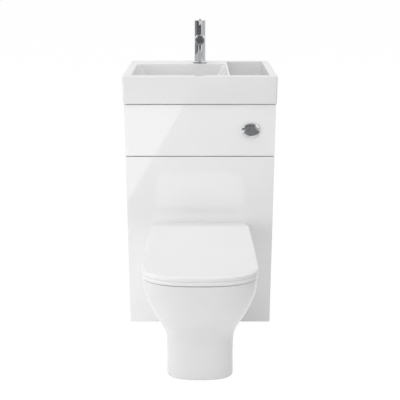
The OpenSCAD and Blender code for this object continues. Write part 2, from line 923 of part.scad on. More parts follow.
module tap_aerator() {
    color("gray") translate([0, tap_y - spout_reach + aerator_in, tap_z + spout_z - spout_r])
        ring(aerator_r, aerator_r - 3, aerator_t);
}

module tap_cartridge() {
    color("whitesmoke") translate([0, tap_y, cartridge_top - cartridge_h])
        cylinder(r = cartridge_r, h = cartridge_h);
}

module tap_handle() {
    inner_h = tap_cap_h - cap_t;
    color("silver") translate([0, tap_y, cap_z]) difference() {
        cylinder(r = tap_r, h = tap_cap_h);
        translate([0, 0, -over]) cylinder(r = tap_r - cap_t, h = inner_h + over);
        block([-notch_w / 2, -tap_r - over, lever_up + notch_z], [notch_w / 2, 0, tap_cap_h + over]);
        lever_pin(lever_up, lever_pin_r + run_fit, slip_fit);
        translate([0, over - tap_r, lever_up]) to_front()
            cylinder(r = indicator_r + slip_fit / 2, h = 3 * over);
    }
}

// The lever's pivot pin, whose ends bite into the handle's wall
module lever_pin(z, r, extra) {
    half = tap_r - cap_t + lever_pin_bite + extra;
    translate([-half, 0, z]) rotate([0, 90, 0]) cylinder(r = r, h = 2 * half);
}

module tap_lever() {
    color("silver") translate([0, tap_y, lever_z]) {
        sphere(r = lever_ball_r);
        lever_pin(0, lever_pin_r, 0);
        rotate([90 - lever_rise, 0, 0]) {
            cylinder(r = lever_r, h = lever_len - 1);
            translate([0, 0, lever_len - 1]) cylinder(r1 = lever_r, r2 = lever_r - 1, h = 1);
        }
    }
}

module tap_indicator() {
    color("crimson") translate([0, tap_y - tap_r + over, lever_z]) to_front()
        cylinder(r = indicator_r, h = indicator_t);
}

module tap_gasket() {
    color("dimgray") translate([0, tap_y, rim_z]) ring(tap_base_r - 1.5, tap_hole_r, tap_gasket_t);
}

module tap_clamp() {
    top = rim_z - ledge_t;
    color("silver") translate([0, tap_y, 0]) {
        difference() {
            translate([0, 0, top - clamp_t]) cylinder(r = clamp_r, h = clamp_t);
            block([-tail_x - tail_r - clamp_slot_gap, -clamp_r - over, top - clamp_t - over],
                [tail_x + tail_r + clamp_slot_gap, tail_y + tail_r + over, top + over]);
            translate([0, stud_y, top - clamp_t - over])
                cylinder(r = stud_r + run_fit, h = clamp_t + 2 * over);
        }
        translate([0, stud_y, tap_z + stud_depth - stud_len]) cylinder(r = stud_r, h = stud_len);
        translate([0, stud_y, top - clamp_t - stud_nut_t]) difference() {
            cylinder(r = stud_nut_r, h = stud_nut_t, $fn = 6);
            translate([0, 0, -over]) cylinder(r = stud_r + run_fit, h = stud_nut_t + 2 * over);
        }
    }
}

// A bent supply tail from the tap to a union nut beside the cistern
module tail(x, row_z, drop_x) {
    route = [
        [x, tap_y + tail_y, tap_z - over], [x, tap_y + tail_y, row_z],
        [drop_x, tap_y + tail_y, row_z], [drop_x, tap_y + tail_y, tail_end_z + tail_nut_h]
    ];
    bent_rod(route, tail_r, tail_bend);
    translate([x, tap_y + tail_y, tap_z - over]) cylinder(r = tail_neck_r, h = tail_neck_h);
    translate([drop_x, tap_y + tail_y, tail_end_z]) difference() {
        union() {
            cylinder(r = tail_nut_r, h = tail_nut_h - tail_nut_cap);
            translate([0, 0, tail_nut_h - tail_nut_cap]) cylinder(r = tail_nut_r - 3, h = tail_nut_cap + over);
        }
        translate([0, 0, -over]) cylinder(r = shank_r + slip_fit, h = tail_union_depth + over);
    }
}

module hot_tail() {
    color("lightgray") tail(-tail_x, hot_row_z, hot_drop_x);
}

module cold_tail() {
    color("lightgray") tail(tail_x, cold_row_z, cold_drop_x);
}

// A saddle on the side panel that holds both tails
module tail_clip() {
    y = tap_y + tail_y;
    wide = tail_r + tail_clip_t;
    color("whitesmoke") difference() {
        block([hot_drop_x - wide, y - wide, tail_clip_z], [inner_x, y + wide, tail_clip_z + tail_clip_h]);
        for (x = [hot_drop_x, cold_drop_x])
            translate([x, y, tail_clip_z - over]) cylinder(r = tail_r + run_fit, h = tail_clip_h + 2 * over);
    }
}

// ---------------------------------------------------------------- cistern

// The tank's outline, grown by g all round
function tank_outline(g) = rounded(tank_x0 - g, tank_x1 + g, tank_y0 - g, tank_y1 + g, tank_corner + g);

module cistern_tank() {
    color("whitesmoke") difference() {
        translate([0, 0, shelf_z]) linear_extrude(tank_h) polygon(tank_outline(0));
        translate([0, 0, shelf_z + tank_t]) linear_extrude(tank_h) polygon(tank_outline(-tank_t));
        translate([0, valve_y, shelf_z - over]) cylinder(r = tail_pipe_r + slip_fit, h = tank_t + 2 * over);
        translate([fill_x, valve_y, shelf_z - over])
            cylinder(r = shank_neck_r + slip_fit, h = tank_t + 2 * over);
    }
}

module cistern_lid() {
    t = cistern_lid_t;
    color("whitesmoke") difference() {
        translate([0, 0, tank_top - lid_lip]) linear_extrude(lid_lip + t) polygon(tank_outline(slip_fit + t));
        translate([0, 0, tank_top - lid_lip - over]) linear_extrude(lid_lip + over)
            polygon(tank_outline(slip_fit));
        translate([0, valve_y, tank_top - over]) cylinder(r = cistern_lid_hole_r, h = t + 2 * over);
    }
}

module flush_valve_body() {
    base = shelf_z + tank_t;
    post_h = actuator_z - base - cage_h;
    color("lightgray") translate([0, valve_y, 0]) {
        difference() {
            union() {
                translate([0, 0, base]) cylinder(r = cage_r, h = cage_h);
                translate([0, 0, shelf_z - tail_pipe_len])
                    cylinder(r = tail_pipe_r, h = tail_pipe_len + tank_t);
            }
            translate([0, 0, shelf_z - tail_pipe_len - over])
                cylinder(r = flush_r + run_fit, h = tail_pipe_len + 2 * over);
            translate([0, 0, shelf_z - over]) cylinder(r = flush_r, h = tank_t + valve_seat_t + over);
            translate([0, 0, base + valve_seat_t])
                cylinder(r = cage_r - cage_t, h = cage_h - valve_seat_t - cage_t);
            translate([0, 0, base]) cylinder(r = overflow_r + slip_fit, h = cage_h + over);
            for (a = [0:60:300]) rotate([0, 0, a])
                block([cage_r - 2 * cage_t, -cage_slot_w / 2, base + cage_slot_z0],
                    [cage_r + over, cage_slot_w / 2, base + cage_slot_z1]);
        }
        for (a = [90:120:330]) rotate([0, 0, a])
            translate([cage_r - cage_post_inset, 0, base + cage_h - over])
                cylinder(r = cage_post_r, h = post_h + 2 * over);
        difference() {
            translate([0, 0, actuator_z]) cylinder(r = actuator_r, h = actuator_h);
            translate([0, 0, actuator_z - over]) cylinder(r = overflow_r + cage_t, h = flush_lift + 2 * over);
        }
        for (s = [-1, 1])
            translate([s * air_end_dx, s * air_row_dy, actuator_z + actuator_h - over])
                cylinder(r = nozzle_r, h = nozzle_h + over);
    }
}

module flush_valve_lift() {
    base = shelf_z + tank_t + valve_seat_t + rest_gap;
    color("steelblue") translate([0, valve_y, 0]) difference() {
        union() {
            translate([0, 0, base]) cylinder(r = overflow_r, h = actuator_z - base - rest_gap);
            translate([0, 0, base]) cylinder(r = valve_seal_r, h = valve_seal_t);
        }
        translate([0, 0, base - over]) cylinder(r = overflow_r - overflow_t, h = actuator_z);
    }
}

module flush_valve_nut() {
    color("white") translate([0, valve_y, shelf_z - valve_nut_t])
        ring(valve_nut_r, tail_pipe_r + run_fit, valve_nut_t);
}

// A slightly wider neck carries the nut and passes through the tank's floor
module fill_valve() {
    base = shelf_z + tank_t;
    color("white") translate([fill_x, valve_y, 0]) {
        translate([0, 0, base]) cylinder(r = fill_nut_r, h = float_z - rest_gap - base);
        translate([0, 0, base]) cylinder(r = fill_column_r, h = fill_head_z - base + over);
        translate([0, 0, fill_head_z]) cylinder(r = fill_head_r, h = fill_head_h);
        difference() {
            union() {
                translate([0, 0, shelf_z - fill_shank_len])
                    cylinder(r = shank_r, h = fill_shank_len + tank_t + over);
                translate([0, 0, shelf_z - fill_nut_t - rest_gap])
                    cylinder(r = shank_neck_r, h = fill_nut_t + rest_gap + tank_t + over);
            }
            translate([0, 0, shelf_z - fill_shank_len - over]) cylinder(r = fill_bore_r, h = fill_shank_len);
        }
    }
}

module fill_valve_nut() {
    color("white") translate([fill_x, valve_y, shelf_z - fill_nut_t]) difference() {
        cylinder(r = fill_nut_r, h = fill_nut_t, $fn = 6);
        translate([0, 0, -over]) cylinder(r = shank_neck_r + run_fit, h = fill_nut_t + 2 * over);
    }
}

// The float rests on the column's shoulder and rises by float_travel to the valve's head
module float_cup() {
    color("steelblue") translate([fill_x, valve_y, float_z]) ring(float_r, fill_column_r + run_fit, float_h);
}

module flush_pipe() {
    route = [[0, valve_y, flush_pipe_top], [0, valve_y, inlet_z], [0, face_y - flush_entry, inlet_z]];
    color("whitesmoke") difference() {
        bent_rod(route, flush_r, flush_bend);
        bent_rod(route, flush_r - flush_pipe_t, flush_bend, over);
    }
}

module pan_inlet_seal() {
    color("dimgray") translate([0, face_y - seal_inset - seal_len, inlet_z]) to_back()
        ring(pan_inlet_r - slip_fit, flush_r + run_fit, seal_len);
}

module air_tubes() {
    y0 = face_y + sleeve_len + button_nozzle_len;
    z_end = actuator_z + actuator_h + nozzle_h;
    color("gray") for (s = [-1, 1]) {
        y_row = valve_y + s * air_row_dy;
        route = [
            [button_x + s * bellows_x, y0, button_z], [button_x + s * bellows_x, y_row, button_z],
            [s * air_end_dx, y_row, button_z], [s * air_end_dx, y_row, z_end]
        ];
        difference() {
            bent_rod(route, air_r, air_bend);
            bent_rod(route, air_bore_r, air_bend, over);
        }
    }
}

// ---------------------------------------------------------------- flush button

// Draws an outline on the fascia's face, from depth y0 to y1 measured into the cabinet
module on_face(points, y0, y1) {
    translate([button_x, face_y + y1, button_z]) to_front() linear_extrude(y1 - y0) polygon(points);
}

module button_bezel() {
    color("silver") difference() {
        on_face(ellipse(bezel_w / 2, bezel_h / 2), -bezel_proud, 0);
        on_face(ellipse(bezel_open_w / 2, bezel_open_h / 2), -bezel_proud - over, over);
        on_face(ellipse(bezel_open_w / 2 + bezel_lip + slip_fit, bezel_open_h / 2 + bezel_lip + slip_fit),
            -bezel_flange_t - slip_fit, over);
    }
}

// Both pads together; each is cut off by the same arc
module pad_blank() {
    front = -bezel_proud - pad_proud;
    on_face(ellipse(bezel_open_w / 2 - pad_gap, bezel_open_h / 2 - pad_gap), front, front + pad_t);
}

module pad_arc(r) {
    translate([button_x + pad_split_x + pad_split_r, face_y - bezel_proud - 2 * over, button_z]) to_back()
        cylinder(r = r, h = bezel_proud);
}

// A pad's stem, which stops short of the bellows by the pad's travel
module pad_stem(x) {
    start = face_y - bezel_proud - pad_proud + pad_t - over / 2;
    stop = bellows_y - button_travel - rest_gap;
    translate([button_x + x, start, button_z]) to_back() cylinder(r = stem_r, h = stop - start);
}

module button_full() {
    color("silver") {
        intersection() {
            pad_blank();
            pad_arc(pad_split_r - pad_gap);
        }
        pad_stem(full_stem_x);
    }
}

module button_half() {
    color("silver") {
        difference() {
            pad_blank();
            pad_arc(pad_split_r + pad_gap);
        }
        pad_stem(half_stem_x);
    }
}

module button_housing() {
    lip_w = bezel_open_w / 2 + bezel_lip;
    lip_h = bezel_open_h / 2 + bezel_lip;
    color("whitesmoke") {
        difference() {
            union() {
                on_face(ellipse(lip_w, lip_h), -bezel_flange_t, 0);
                translate([button_x, face_y - over, button_z]) to_back()
                    cylinder(r = sleeve_r, h = sleeve_len + over);
            }
            translate([button_x, face_y - bezel_flange_t - over, button_z]) to_back()
                cylinder(r = sleeve_r - sleeve_t, h = bezel_flange_t + over + stem_guide_y);
            translate([button_x, face_y + stem_guide_y + stem_guide_t, button_z]) to_back()
                cylinder(r = sleeve_r - sleeve_t, h = sleeve_len - stem_guide_y - stem_guide_t - sleeve_t);
            for (x = [full_stem_x, half_stem_x])
                translate([button_x + x, face_y, button_z]) to_back()
                    cylinder(r = stem_r + run_fit, h = stem_guide_y + stem_guide_t + over);
        }
        for (s = [-1, 1]) {
            translate([button_x + s * bellows_x, bellows_y, button_z]) to_back()
                cylinder(r = bellows_r, h = bellows_len + over);
            translate([button_x + s * bellows_x, face_y + sleeve_len - over, button_z]) to_back()
                cylinder(r = air_r + 1, h = button_nozzle_len + over);
        }
    }
}

module button_nut() {
    color("whitesmoke") translate([button_x, carcass_y, button_z]) to_back()
        ring(button_nut_r, sleeve_r + run_fit, button_nut_t);
}

// ---------------------------------------------------------------- pan

// How far the body has opened out at height z, 0 at the waist to 1 at the rim
function opened(z) = let (u = max(0, min(1, (z - waist_z) / (pan_h - waist_z))))
    pow(sin(90 * u), opening_ease);

// The body's outline at height z, drawn in by cut on the sides and the front
function pan_ring(z, cut, back = 0) = let (
        s = opened(z),
        flare = foot_flare * pow(max(0, 1 - z / flare_h), 2),
        w = foot_w / 2 + (pan_w - foot_w) / 2 * s + flare - cut,
        yf = face_y - foot_reach - (pan_reach - foot_reach) * s + cut,
        corner = foot_corner + (rim_corner - foot_corner) * s)
    lift(d_shape(w - back_taper * s, w, face_y + back, yf + corner, yf, 2.6), z);

module pan_outer() {
    foot = [[0, 6], [2, 2.6], [6, 0.6], [11, 0]];
    rim = [[pan_h - 5, 0], [pan_h - 1.5, 1], [pan_h, 3.5]];
    step = (pan_h - rim_band - waist_z) / 9;
    levels = [waist_z / 3, waist_z * 2 / 3, for (i = [0:9]) waist_z + step * i];
    loft(concat([for (p = foot) pan_ring(p[0], p[1])], [for (z = levels) pan_ring(z, 0)],
        [for (p = rim) pan_ring(p[0], p[1])]));
}

module pan_void() {
    top = pan_h - deck_t;
    loft([for (z = [-over, waist_z / 2, for (i = [0:5]) waist_z + (top - waist_z) * i / 5])
        pan_ring(z, pan_wall, over)]);
}

// The bowl: t runs from 0 at the sump to 1 at the rim; it keeps inside the body's wall
function bowl_level(t, grow) = let (
        e = pow(1 - pow(1 - t, 2.6), 0.5),
        z = sump_z + (pan_h - sump_z) * t,
        s = opened(z),
        inner = 2 * pan_wall + shell_gap,
        room = foot_w / 2 + (pan_w - foot_w) / 2 * s - inner,
        a = trap_bore_r - 3 + (min(mouth_w / 2, room) - trap_bore_r + 3) * e,
        limit = face_y - foot_reach - (pan_reach - foot_reach) * s + inner + (mouth_front - inner) * s,
        y0 = sump_y - trap_bore_r + (limit - sump_y + trap_bore_r) * e,
        y1 = sump_y + trap_bore_r + (mouth_y0 + mouth_l - sump_y - trap_bore_r) * e)
    lift(oval(a + grow, (y1 - y0) / 2 + grow, (y0 + y1) / 2, 2.2), z);

module pan_bowl(grow, top) {
    steps = [0.03, 0.1, 0.2, 0.32, 0.46, 0.62, 0.8, 1];
    floor_ring = lift([for (p = bowl_level(0.005, grow)) [p[0], p[1]]], sump_z - grow);
    roof = lift([for (p = bowl_level(1, grow)) [p[0], p[1]]], pan_h + top);
    loft(concat([floor_ring], [for (t = steps) bowl_level(t, grow)], top > 0 ? [roof] : []));
}

// The trapway: from the sump over the weir to the outlet
function trap_point(along, up) = [sump_y + trap_len * along, sump_z + trap_rise * up];
trapway = [
    trap_point(0.08, 0.23), trap_point(0.31, 0.28), trap_point(0.48, 0.52), trap_point(0.61, 0.85),
    trap_point(0.76, 1), trap_point(0.9, 0.91), [sump_y + trap_len, soil_z]
];

module trap_run(r) {
    for (i = [0:len(trapway) - 2])
        hull()
            for (p = [trapway[i], trapway[i + 1]])
                translate([0, p[0], p[1]]) sphere(r = r, $fn = 20);
}

module pan_body() {
    spigot_y = trapway[len(trapway) - 1][0];
    color("white") difference() {
        union() {
            difference() {
                pan_outer();
                pan_void();
            }
            intersection() {
                pan_outer();
                union() {
                    pan_bowl(pan_wall - 1, 0);
                    trap_run(trap_bore_r + trap_wall);
                    translate([0, face_y, inlet_z]) to_front()
                        cylinder(r = pan_inlet_r + inlet_wall, h = face_y - mouth_y0 - mouth_l + 14, $fn = 40);
                    translate([0, spigot_y - trap_wall, soil_z]) to_back()
                        cylinder(r = spigot_r, h = face_y - spigot_y + trap_wall - spigot_back, $fn = 64);
                    mirrored_x() translate([hinge_x, hinge_y, pan_h - deck_t - boss_below])
                        cylinder(r = post_stud_r + boss_wall, h = boss_h, $fn = 24);
                }
            }
        }
        pan_bowl(0, over);
        trap_run(trap_bore_r);
        translate([0, face_y + over, inlet_z]) to_front() cylinder(r = pan_inlet_r, h = 60, $fn = 40);
        translate([0, face_y + over, inlet_z]) to_front()
            cylinder(r = flush_r - 2, h = face_y - mouth_y0 - mouth_l + 30, $fn = 40);
        translate([0, spigot_y, soil_z]) to_back()
            cylinder(r = spigot_r - spigot_t, h = face_y - spigot_y, $fn = 64);
        mirrored_x() {
            translate([hinge_x, hinge_y, pan_h - post_stud_len - over])
                cylinder(r = post_stud_r + slip_fit, h = post_stud_len + 2 * over, $fn = 24);
            translate([foot_w / 2 - pan_wall - 3, floor_fix_y, floor_fix_z]) rotate([0, 90, 0])
                cylinder(r = cap_screw_r + slip_fit, h = pan_wall + 20, $fn = 24);
        }
    }
}

module soil_connector() {
    sleeve_r = spigot_r + slip_fit + soil_t;
    start = face_y - spigot_back - soil_sleeve_len;
    body_start = face_y - spigot_back + over;
    color("white") translate([0, 0, soil_z]) {
        translate([0, start, 0]) to_back() ring(sleeve_r, spigot_r + slip_fit, soil_sleeve_len + over);
        translate([0, body_start, 0]) to_back() ring(soil_r, soil_r - soil_t, wall_y - body_start);
        translate([0, body_start - over, 0]) to_back() ring(sleeve_r, soil_r - soil_t, soil_collar);
    }
}

// Angle brackets on the floor inside the foot, each with its screw and cap
module floor_brackets() {
    x1 = foot_w / 2 - pan_wall - slip_fit;
    y0 = floor_fix_y - angle_w / 2;
    color("lightgray") mirrored_x() {
        difference() {
            union() {
                block([x1 - angle_l, y0, 0], [x1, y0 + angle_w, angle_t]);
                block([x1 - angle_t, y0, 0], [x1, y0 + angle_w, angle_h]);
            }
            translate([x1 - floor_hole_in, floor_fix_y, -over])
                cylinder(r = floor_hole_r, h = angle_t + 2 * over);
        }
        translate([x1 - over, floor_fix_y, floor_fix_z]) rotate([0, 90, 0])
            cylinder(r = cap_screw_r, h = cap_x + over - x1 + over);
        translate([cap_x, floor_fix_y, floor_fix_z]) rotate([0, 90, 0])
            cylinder(r1 = cap_r, r2 = cap_r - 1.5, h = cap_out_t);
    }
}

// ---------------------------------------------------------------- seat and lid

function lid_outline(cut) = d_shape(
    lid_w / 2 - lid_taper - cut, lid_w / 2 - cut, face_y - lid_back - cut,
    face_y - lid_reach + rim_corner, face_y - lid_reach + cut, 2.6, 4, 32);

function seat_outline(cut) = d_shape(
    lid_w / 2 - lid_taper - cut, lid_w / 2 - cut, seat_rear - cut,
    face_y - lid_reach + rim_corner, face_y - lid_reach + cut, 2.6, 4, 32);

// A knuckle round the hinge axis, from x0 to x1
module knuckle(x0, x1) {
    translate([x0, hinge_y, hinge_z]) rotate([0, 90, 0]) cylinder(r = knuckle_r, h = x1 - x0);
}

module pin_bore(x0, x1) {
    translate([x0 - over, hinge_y, hinge_z]) rotate([0, 90, 0])
        cylinder(r = pin_r + run_fit, h = x1 - x0 + 2 * over);
}

// Seat knuckles are on the inner side of each post, lid knuckles on the outer side
seat_k1 = hinge_x - post_w / 2 - post_gap;
seat_k0 = seat_k1 - knuckle_w;
lid_k0 = hinge_x + post_w / 2 + post_gap;
lid_k1 = lid_k0 + knuckle_w;

module seat_ring() {
    open_w = lid_w / 2 - seat_band;
    open_y0 = face_y - lid_reach + seat_front;
    open_y1 = seat_rear - seat_back_band;
    top = seat_z + seat_t;
    color("white") difference() {
        union() {
            loft([lift(seat_outline(1.5), seat_z), lift(seat_outline(0), seat_z + 2),
                lift(seat_outline(0), top - seat_edge), lift(seat_outline(seat_edge), top)]);
            mirrored_x() {
                knuckle(seat_k0, seat_k1);
                block([seat_k0, seat_rear - 2 * over, seat_z + 2], [seat_k1, hinge_y, top - seat_edge]);
            }
        }
        translate([0, 0, seat_z - over]) linear_extrude(seat_t + 2 * over)
            polygon(oval(open_w, (open_y1 - open_y0) / 2, (open_y0 + open_y1) / 2, 2.3, 48));
        mirrored_x() pin_bore(seat_k0, seat_k1);
    }
}

buffer_places = [
    [lid_w / 2 - seat_band / 2, hinge_y - buffer_back],
    [lid_w / 2 - seat_band * 3 / 4, face_y - lid_reach + seat_front]
];

module seat_buffers() {
    color("gainsboro") mirrored_x()
        for (p = buffer_places)
            translate([p[0], p[1], pan_h + rest_gap]) cylinder(r = buffer_r, h = seat_gap - rest_gap);
}

module lid() {
    under = lid_top - lid_sheet;
    color("white") difference() {
        union() {
            difference() {
                loft([lift(lid_outline(0.8), lid_z), lift(lid_outline(0), lid_z + 1),
                    lift(lid_outline(0), lid_top - 3.5), lift(lid_outline(1.2), lid_top - 1),
                    lift(lid_outline(3.5), lid_top)]);
                translate([0, 0, lid_z - over]) linear_extrude(lid_t - lid_sheet + over)
                    polygon(lid_outline(lid_rim));
            }
            mirrored_x() {
                knuckle(lid_k0, lid_k1);
                block([lid_k0, hinge_y - 5, hinge_z], [lid_k1, hinge_y + 5, under + over]);
            }
        }
        mirrored_x() {
            pin_bore(lid_k0, lid_k1);
            block([seat_k0 - lid_notch, hinge_y - knuckle_r - 1, lid_z - over],
                [lid_k0, hinge_y + hinge_back + over, under]);
        }
    }
}

module lid_buffers() {
    color("gainsboro") mirrored_x()
        for (p = buffer_places)
            translate([p[0], p[1], seat_z + seat_t + rest_gap])
                cylinder(r = buffer_r, h = lid_top - lid_sheet - seat_z - seat_t - rest_gap);
}

module hinge_posts() {
    x0 = hinge_x - post_w / 2;
    x1 = hinge_x + post_w / 2;
    color("silver") mirrored_x() difference() {
        union() {
            translate([hinge_x, hinge_y, pan_h]) cylinder(r = post_base_r, h = post_base_t);
            block([x0, hinge_y - knuckle_r + 1, pan_h], [x1, hinge_y + knuckle_r - 1, hinge_z]);
            knuckle(x0, x1);
            translate([hinge_x, hinge_y, pan_h - post_stud_len])
                cylinder(r = post_stud_r, h = post_stud_len + over);
        }
        pin_bore(x0, x1);
    }
}

module hinge_pins() {
    color("silver") mirrored_x()
        translate([seat_k0 + 1, hinge_y, hinge_z]) rotate([0, 90, 0])
            cylinder(r = pin_r, h = lid_k1 - seat_k0 - 2);
}

side_panel_left();
side_panel_right();
top_front_rail();
middle_rail();
top_back_rail();
bottom_back_rail();
cistern_shelf();
carcass_screws();
glides();
fascia();
lower_panel();
fascia_clips();
panel_clips();
wall_brackets();
basin();
basin_waste();
waste_plug();
waste_gasket();
waste_nut();
trap_inlet_nut();
trap_body();
trap_cup();
waste_pipe();
tap_body();
tap_base_ring();
tap_aerator();
tap_cartridge();
tap_handle();
tap_lever();
tap_indicator();
tap_gasket();
tap_clamp();
hot_tail();
cold_tail();
tail_clip();
cistern_tank();
cistern_lid();
flush_valve_body();
flush_valve_lift();
flush_valve_nut();
fill_valve();
fill_valve_nut();
float_cup();
flush_pipe();
pan_inlet_seal();
air_tubes();
button_bezel();
button_full();
button_half();
button_housing();
button_nut();
pan_body();
soil_connector();
floor_brackets();
seat_ring();
seat_buffers();
lid();
lid_buffers();
hinge_posts();
hinge_pins();
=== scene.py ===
# %% [markdown]
# # A toilet and basin in one 500 mm unit
# The unit is a gloss white cabinet with a basin and tap on top and a toilet pan in front of it.
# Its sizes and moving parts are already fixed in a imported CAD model, which is loaded first.
# Every finer shape below is built round that model, in metres, and rides on one of its bodies.

import json
import math

import bmesh
import bpy
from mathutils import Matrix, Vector


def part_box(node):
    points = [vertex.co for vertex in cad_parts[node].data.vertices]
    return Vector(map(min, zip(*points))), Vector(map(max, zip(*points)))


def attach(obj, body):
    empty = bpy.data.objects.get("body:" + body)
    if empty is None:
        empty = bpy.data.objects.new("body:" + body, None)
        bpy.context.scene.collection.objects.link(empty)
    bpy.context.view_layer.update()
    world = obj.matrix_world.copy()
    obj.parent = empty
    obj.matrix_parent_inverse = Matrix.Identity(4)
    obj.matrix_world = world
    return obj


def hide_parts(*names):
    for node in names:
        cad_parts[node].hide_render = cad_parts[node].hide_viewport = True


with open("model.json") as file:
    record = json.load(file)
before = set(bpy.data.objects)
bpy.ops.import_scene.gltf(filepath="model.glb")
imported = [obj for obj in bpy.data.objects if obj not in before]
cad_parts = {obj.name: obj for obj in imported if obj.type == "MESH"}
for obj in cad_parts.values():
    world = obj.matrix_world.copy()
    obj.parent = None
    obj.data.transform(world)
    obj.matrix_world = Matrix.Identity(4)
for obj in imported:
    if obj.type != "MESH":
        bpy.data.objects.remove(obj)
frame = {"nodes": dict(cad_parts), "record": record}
nodes = frame["nodes"]
bodies = frame["record"]["behaviour"]["bodies"]
body_of = {node: body for body, members in bodies.items() for node in members}
slot_of = {part["node"]: part["material_slot"] for part in frame["record"]["subparts"]}
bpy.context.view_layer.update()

# %% [markdown]
# The camera comes first, because it decides what the picture can show. It stands in front of the
# middle of the unit and looks down a little, as the photograph does. A long lens keeps the
# cabinet's sides nearly upright, and a small shift moves the unit to its place in the frame.

# %% Place the camera
CAMERA_PLACE = (0, -2.2, 1.268)
CAMERA_PITCH = 0.2828
LENS = 63.4
SENSOR_WIDTH = 36
SHIFT_DOWN = 0.1

camera_data = bpy.data.cameras.new("camera")
camera_data.lens = LENS
camera_data.sensor_width = SENSOR_WIDTH
camera_data.shift_y = -SHIFT_DOWN
camera = bpy.data.objects.new("camera", camera_data)
camera.location = CAMERA_PLACE
camera.rotation_euler = (math.pi / 2 - CAMERA_PITCH, 0, 0)
bpy.context.scene.collection.objects.link(camera)
bpy.context.scene.camera = camera
print("camera", -CAMERA_PLACE[1], "m in front, looking down", round(math.degrees(CAMERA_PITCH)), "degrees")

# %% [markdown]
# ## Finishes
# Most of the unit is white, so the finishes differ in how they shine, not in colour.
# A shader is a tree of nodes, and a group is a small tree with inputs of its own that several
# materials share. Two short helpers add a node with its values and start an empty group.

# %% Helpers for shader trees
FLOAT, VECTOR, COLOUR = "NodeSocketFloat", "NodeSocketVector", "NodeSocketColor"


def add(tree, kind, values=None, **settings):
    """Adds a node; values go to its sockets and settings to the node itself."""
    node = tree.nodes.new(kind)
    for name, value in settings.items():
        setattr(node, name, value)
    for name, value in (values or {}).items():
        node.inputs[name].default_value = value
    return node


def new_group(name, inputs, output, output_kind):
    """An empty shader group with named sockets, and its two end nodes."""
    tree = bpy.data.node_groups.new(name, "ShaderNodeTree")
    for label, kind in inputs:
        tree.interface.new_socket(label, in_out="INPUT", socket_type=kind)
    tree.interface.new_socket(output, in_out="OUTPUT", socket_type=output_kind)
    return tree, tree.nodes.new("NodeGroupInput"), tree.nodes.new("NodeGroupOutput")


print("shader helpers ready")

# %% [markdown]
# Real surfaces vary by chance, and noise is the plainest model of that. The maker knows how many
# millimetres a ripple or a patch is wide, but a Noise node asks how many of them fit in a metre.
# This helper divides one by the size, so every group below can be given a size in metres.

# %% Noise with a size in metres
def sized_noise(tree, given, **values):
    """Noise inside a group, laid on its Place and scaled by its Size; the result is one socket."""
    per_metre = add(tree, "ShaderNodeMath", {0: 1.0}, operation="DIVIDE")
    noise = add(tree, "ShaderNodeTexNoise", values)
    tree.links.new(given.outputs["Size"], per_metre.inputs[1])
    tree.links.new(given.outputs["Place"], noise.inputs["Vector"])
    tree.links.new(per_metre.outputs[0], noise.inputs["Scale"])
    return noise.outputs["Fac"]


print("noise helper ready")

# %% [markdown]
# Lacquer, glaze and moulded plastic are never perfectly flat: they have a soft ripple a few
# millimetres to centimetres long. It could be modelled in the mesh, but it is far finer than
# any face, so noise times a depth goes to a Bump node. One group serves every finish.

# %% Group: soft ripple
ripple, given, result = new_group(
    "soft_ripple", [("Place", VECTOR), ("Size", FLOAT), ("Depth", FLOAT)], "Height", FLOAT)
waves = sized_noise(ripple, given, Detail=2.0, Roughness=0.45)
depth = add(ripple, "ShaderNodeMath", operation="MULTIPLY")
ripple.links.new(waves, depth.inputs[0])
ripple.links.new(given.outputs["Depth"], depth.inputs[1])
ripple.links.new(depth.outputs[0], result.inputs["Height"])
print("group", ripple.name)

# %% [markdown]
# Handling leaves faint patches where a surface shines a little less. This group turns noise
# into a roughness between two values, so highlights break up slightly instead of staying even.

# %% Group: rubbed patches
rubbed, given, result = new_group(
    "rubbed_patches", [("Place", VECTOR), ("Size", FLOAT), ("Clean", FLOAT), ("Dulled", FLOAT)],
    "Roughness", FLOAT)
patches = sized_noise(rubbed, given, Detail=4.0, Roughness=0.6, Distortion=0.4)
spread = add(rubbed, "ShaderNodeMapRange", {"From Min": 0.4, "From Max": 0.72})
rubbed.links.new(patches, spread.inputs["Value"])
rubbed.links.new(given.outputs["Clean"], spread.inputs["To Min"])
rubbed.links.new(given.outputs["Dulled"], spread.inputs["To Max"])
rubbed.links.new(spread.outputs["Result"], result.inputs["Roughness"])
print("group", rubbed.name)

# %% [markdown]
# A batch of plastic or a coat of glaze varies a little in tone. The group mixes a colour with a
# slightly deeper one by slow noise, so that no large face is one flat value. A Mix node has
# sockets for numbers, vectors and colours side by side, and 6 and 7 are its two colours.

# %% Group: uneven tone
MIX_SHARE, MIX_FIRST, MIX_SECOND, MIX_COLOUR = 0, 6, 7, 2

toned, given, result = new_group(
    "uneven_tone", [("Place", VECTOR), ("Size", FLOAT), ("Colour", COLOUR), ("Deeper", COLOUR)],
    "Colour", COLOUR)
clouds = sized_noise(toned, given, Detail=3.0)
blend = add(toned, "ShaderNodeMix", data_type="RGBA")
toned.links.new(clouds, blend.inputs[MIX_SHARE])
toned.links.new(given.outputs["Colour"], blend.inputs[MIX_FIRST])
toned.links.new(given.outputs["Deeper"], blend.inputs[MIX_SECOND])
toned.links.new(blend.outputs[MIX_COLOUR], result.inputs["Colour"])
print("group", toned.name)

# %% [markdown]
# Some finishes have a finer bump on top of the ripple: the grain of a steel mould, which is
# noise, or the spangle of zinc, which looks like crystals and so is made of Voronoi cells.
# A Math node multiplies the pattern by its depth and adds the ripple in one step.

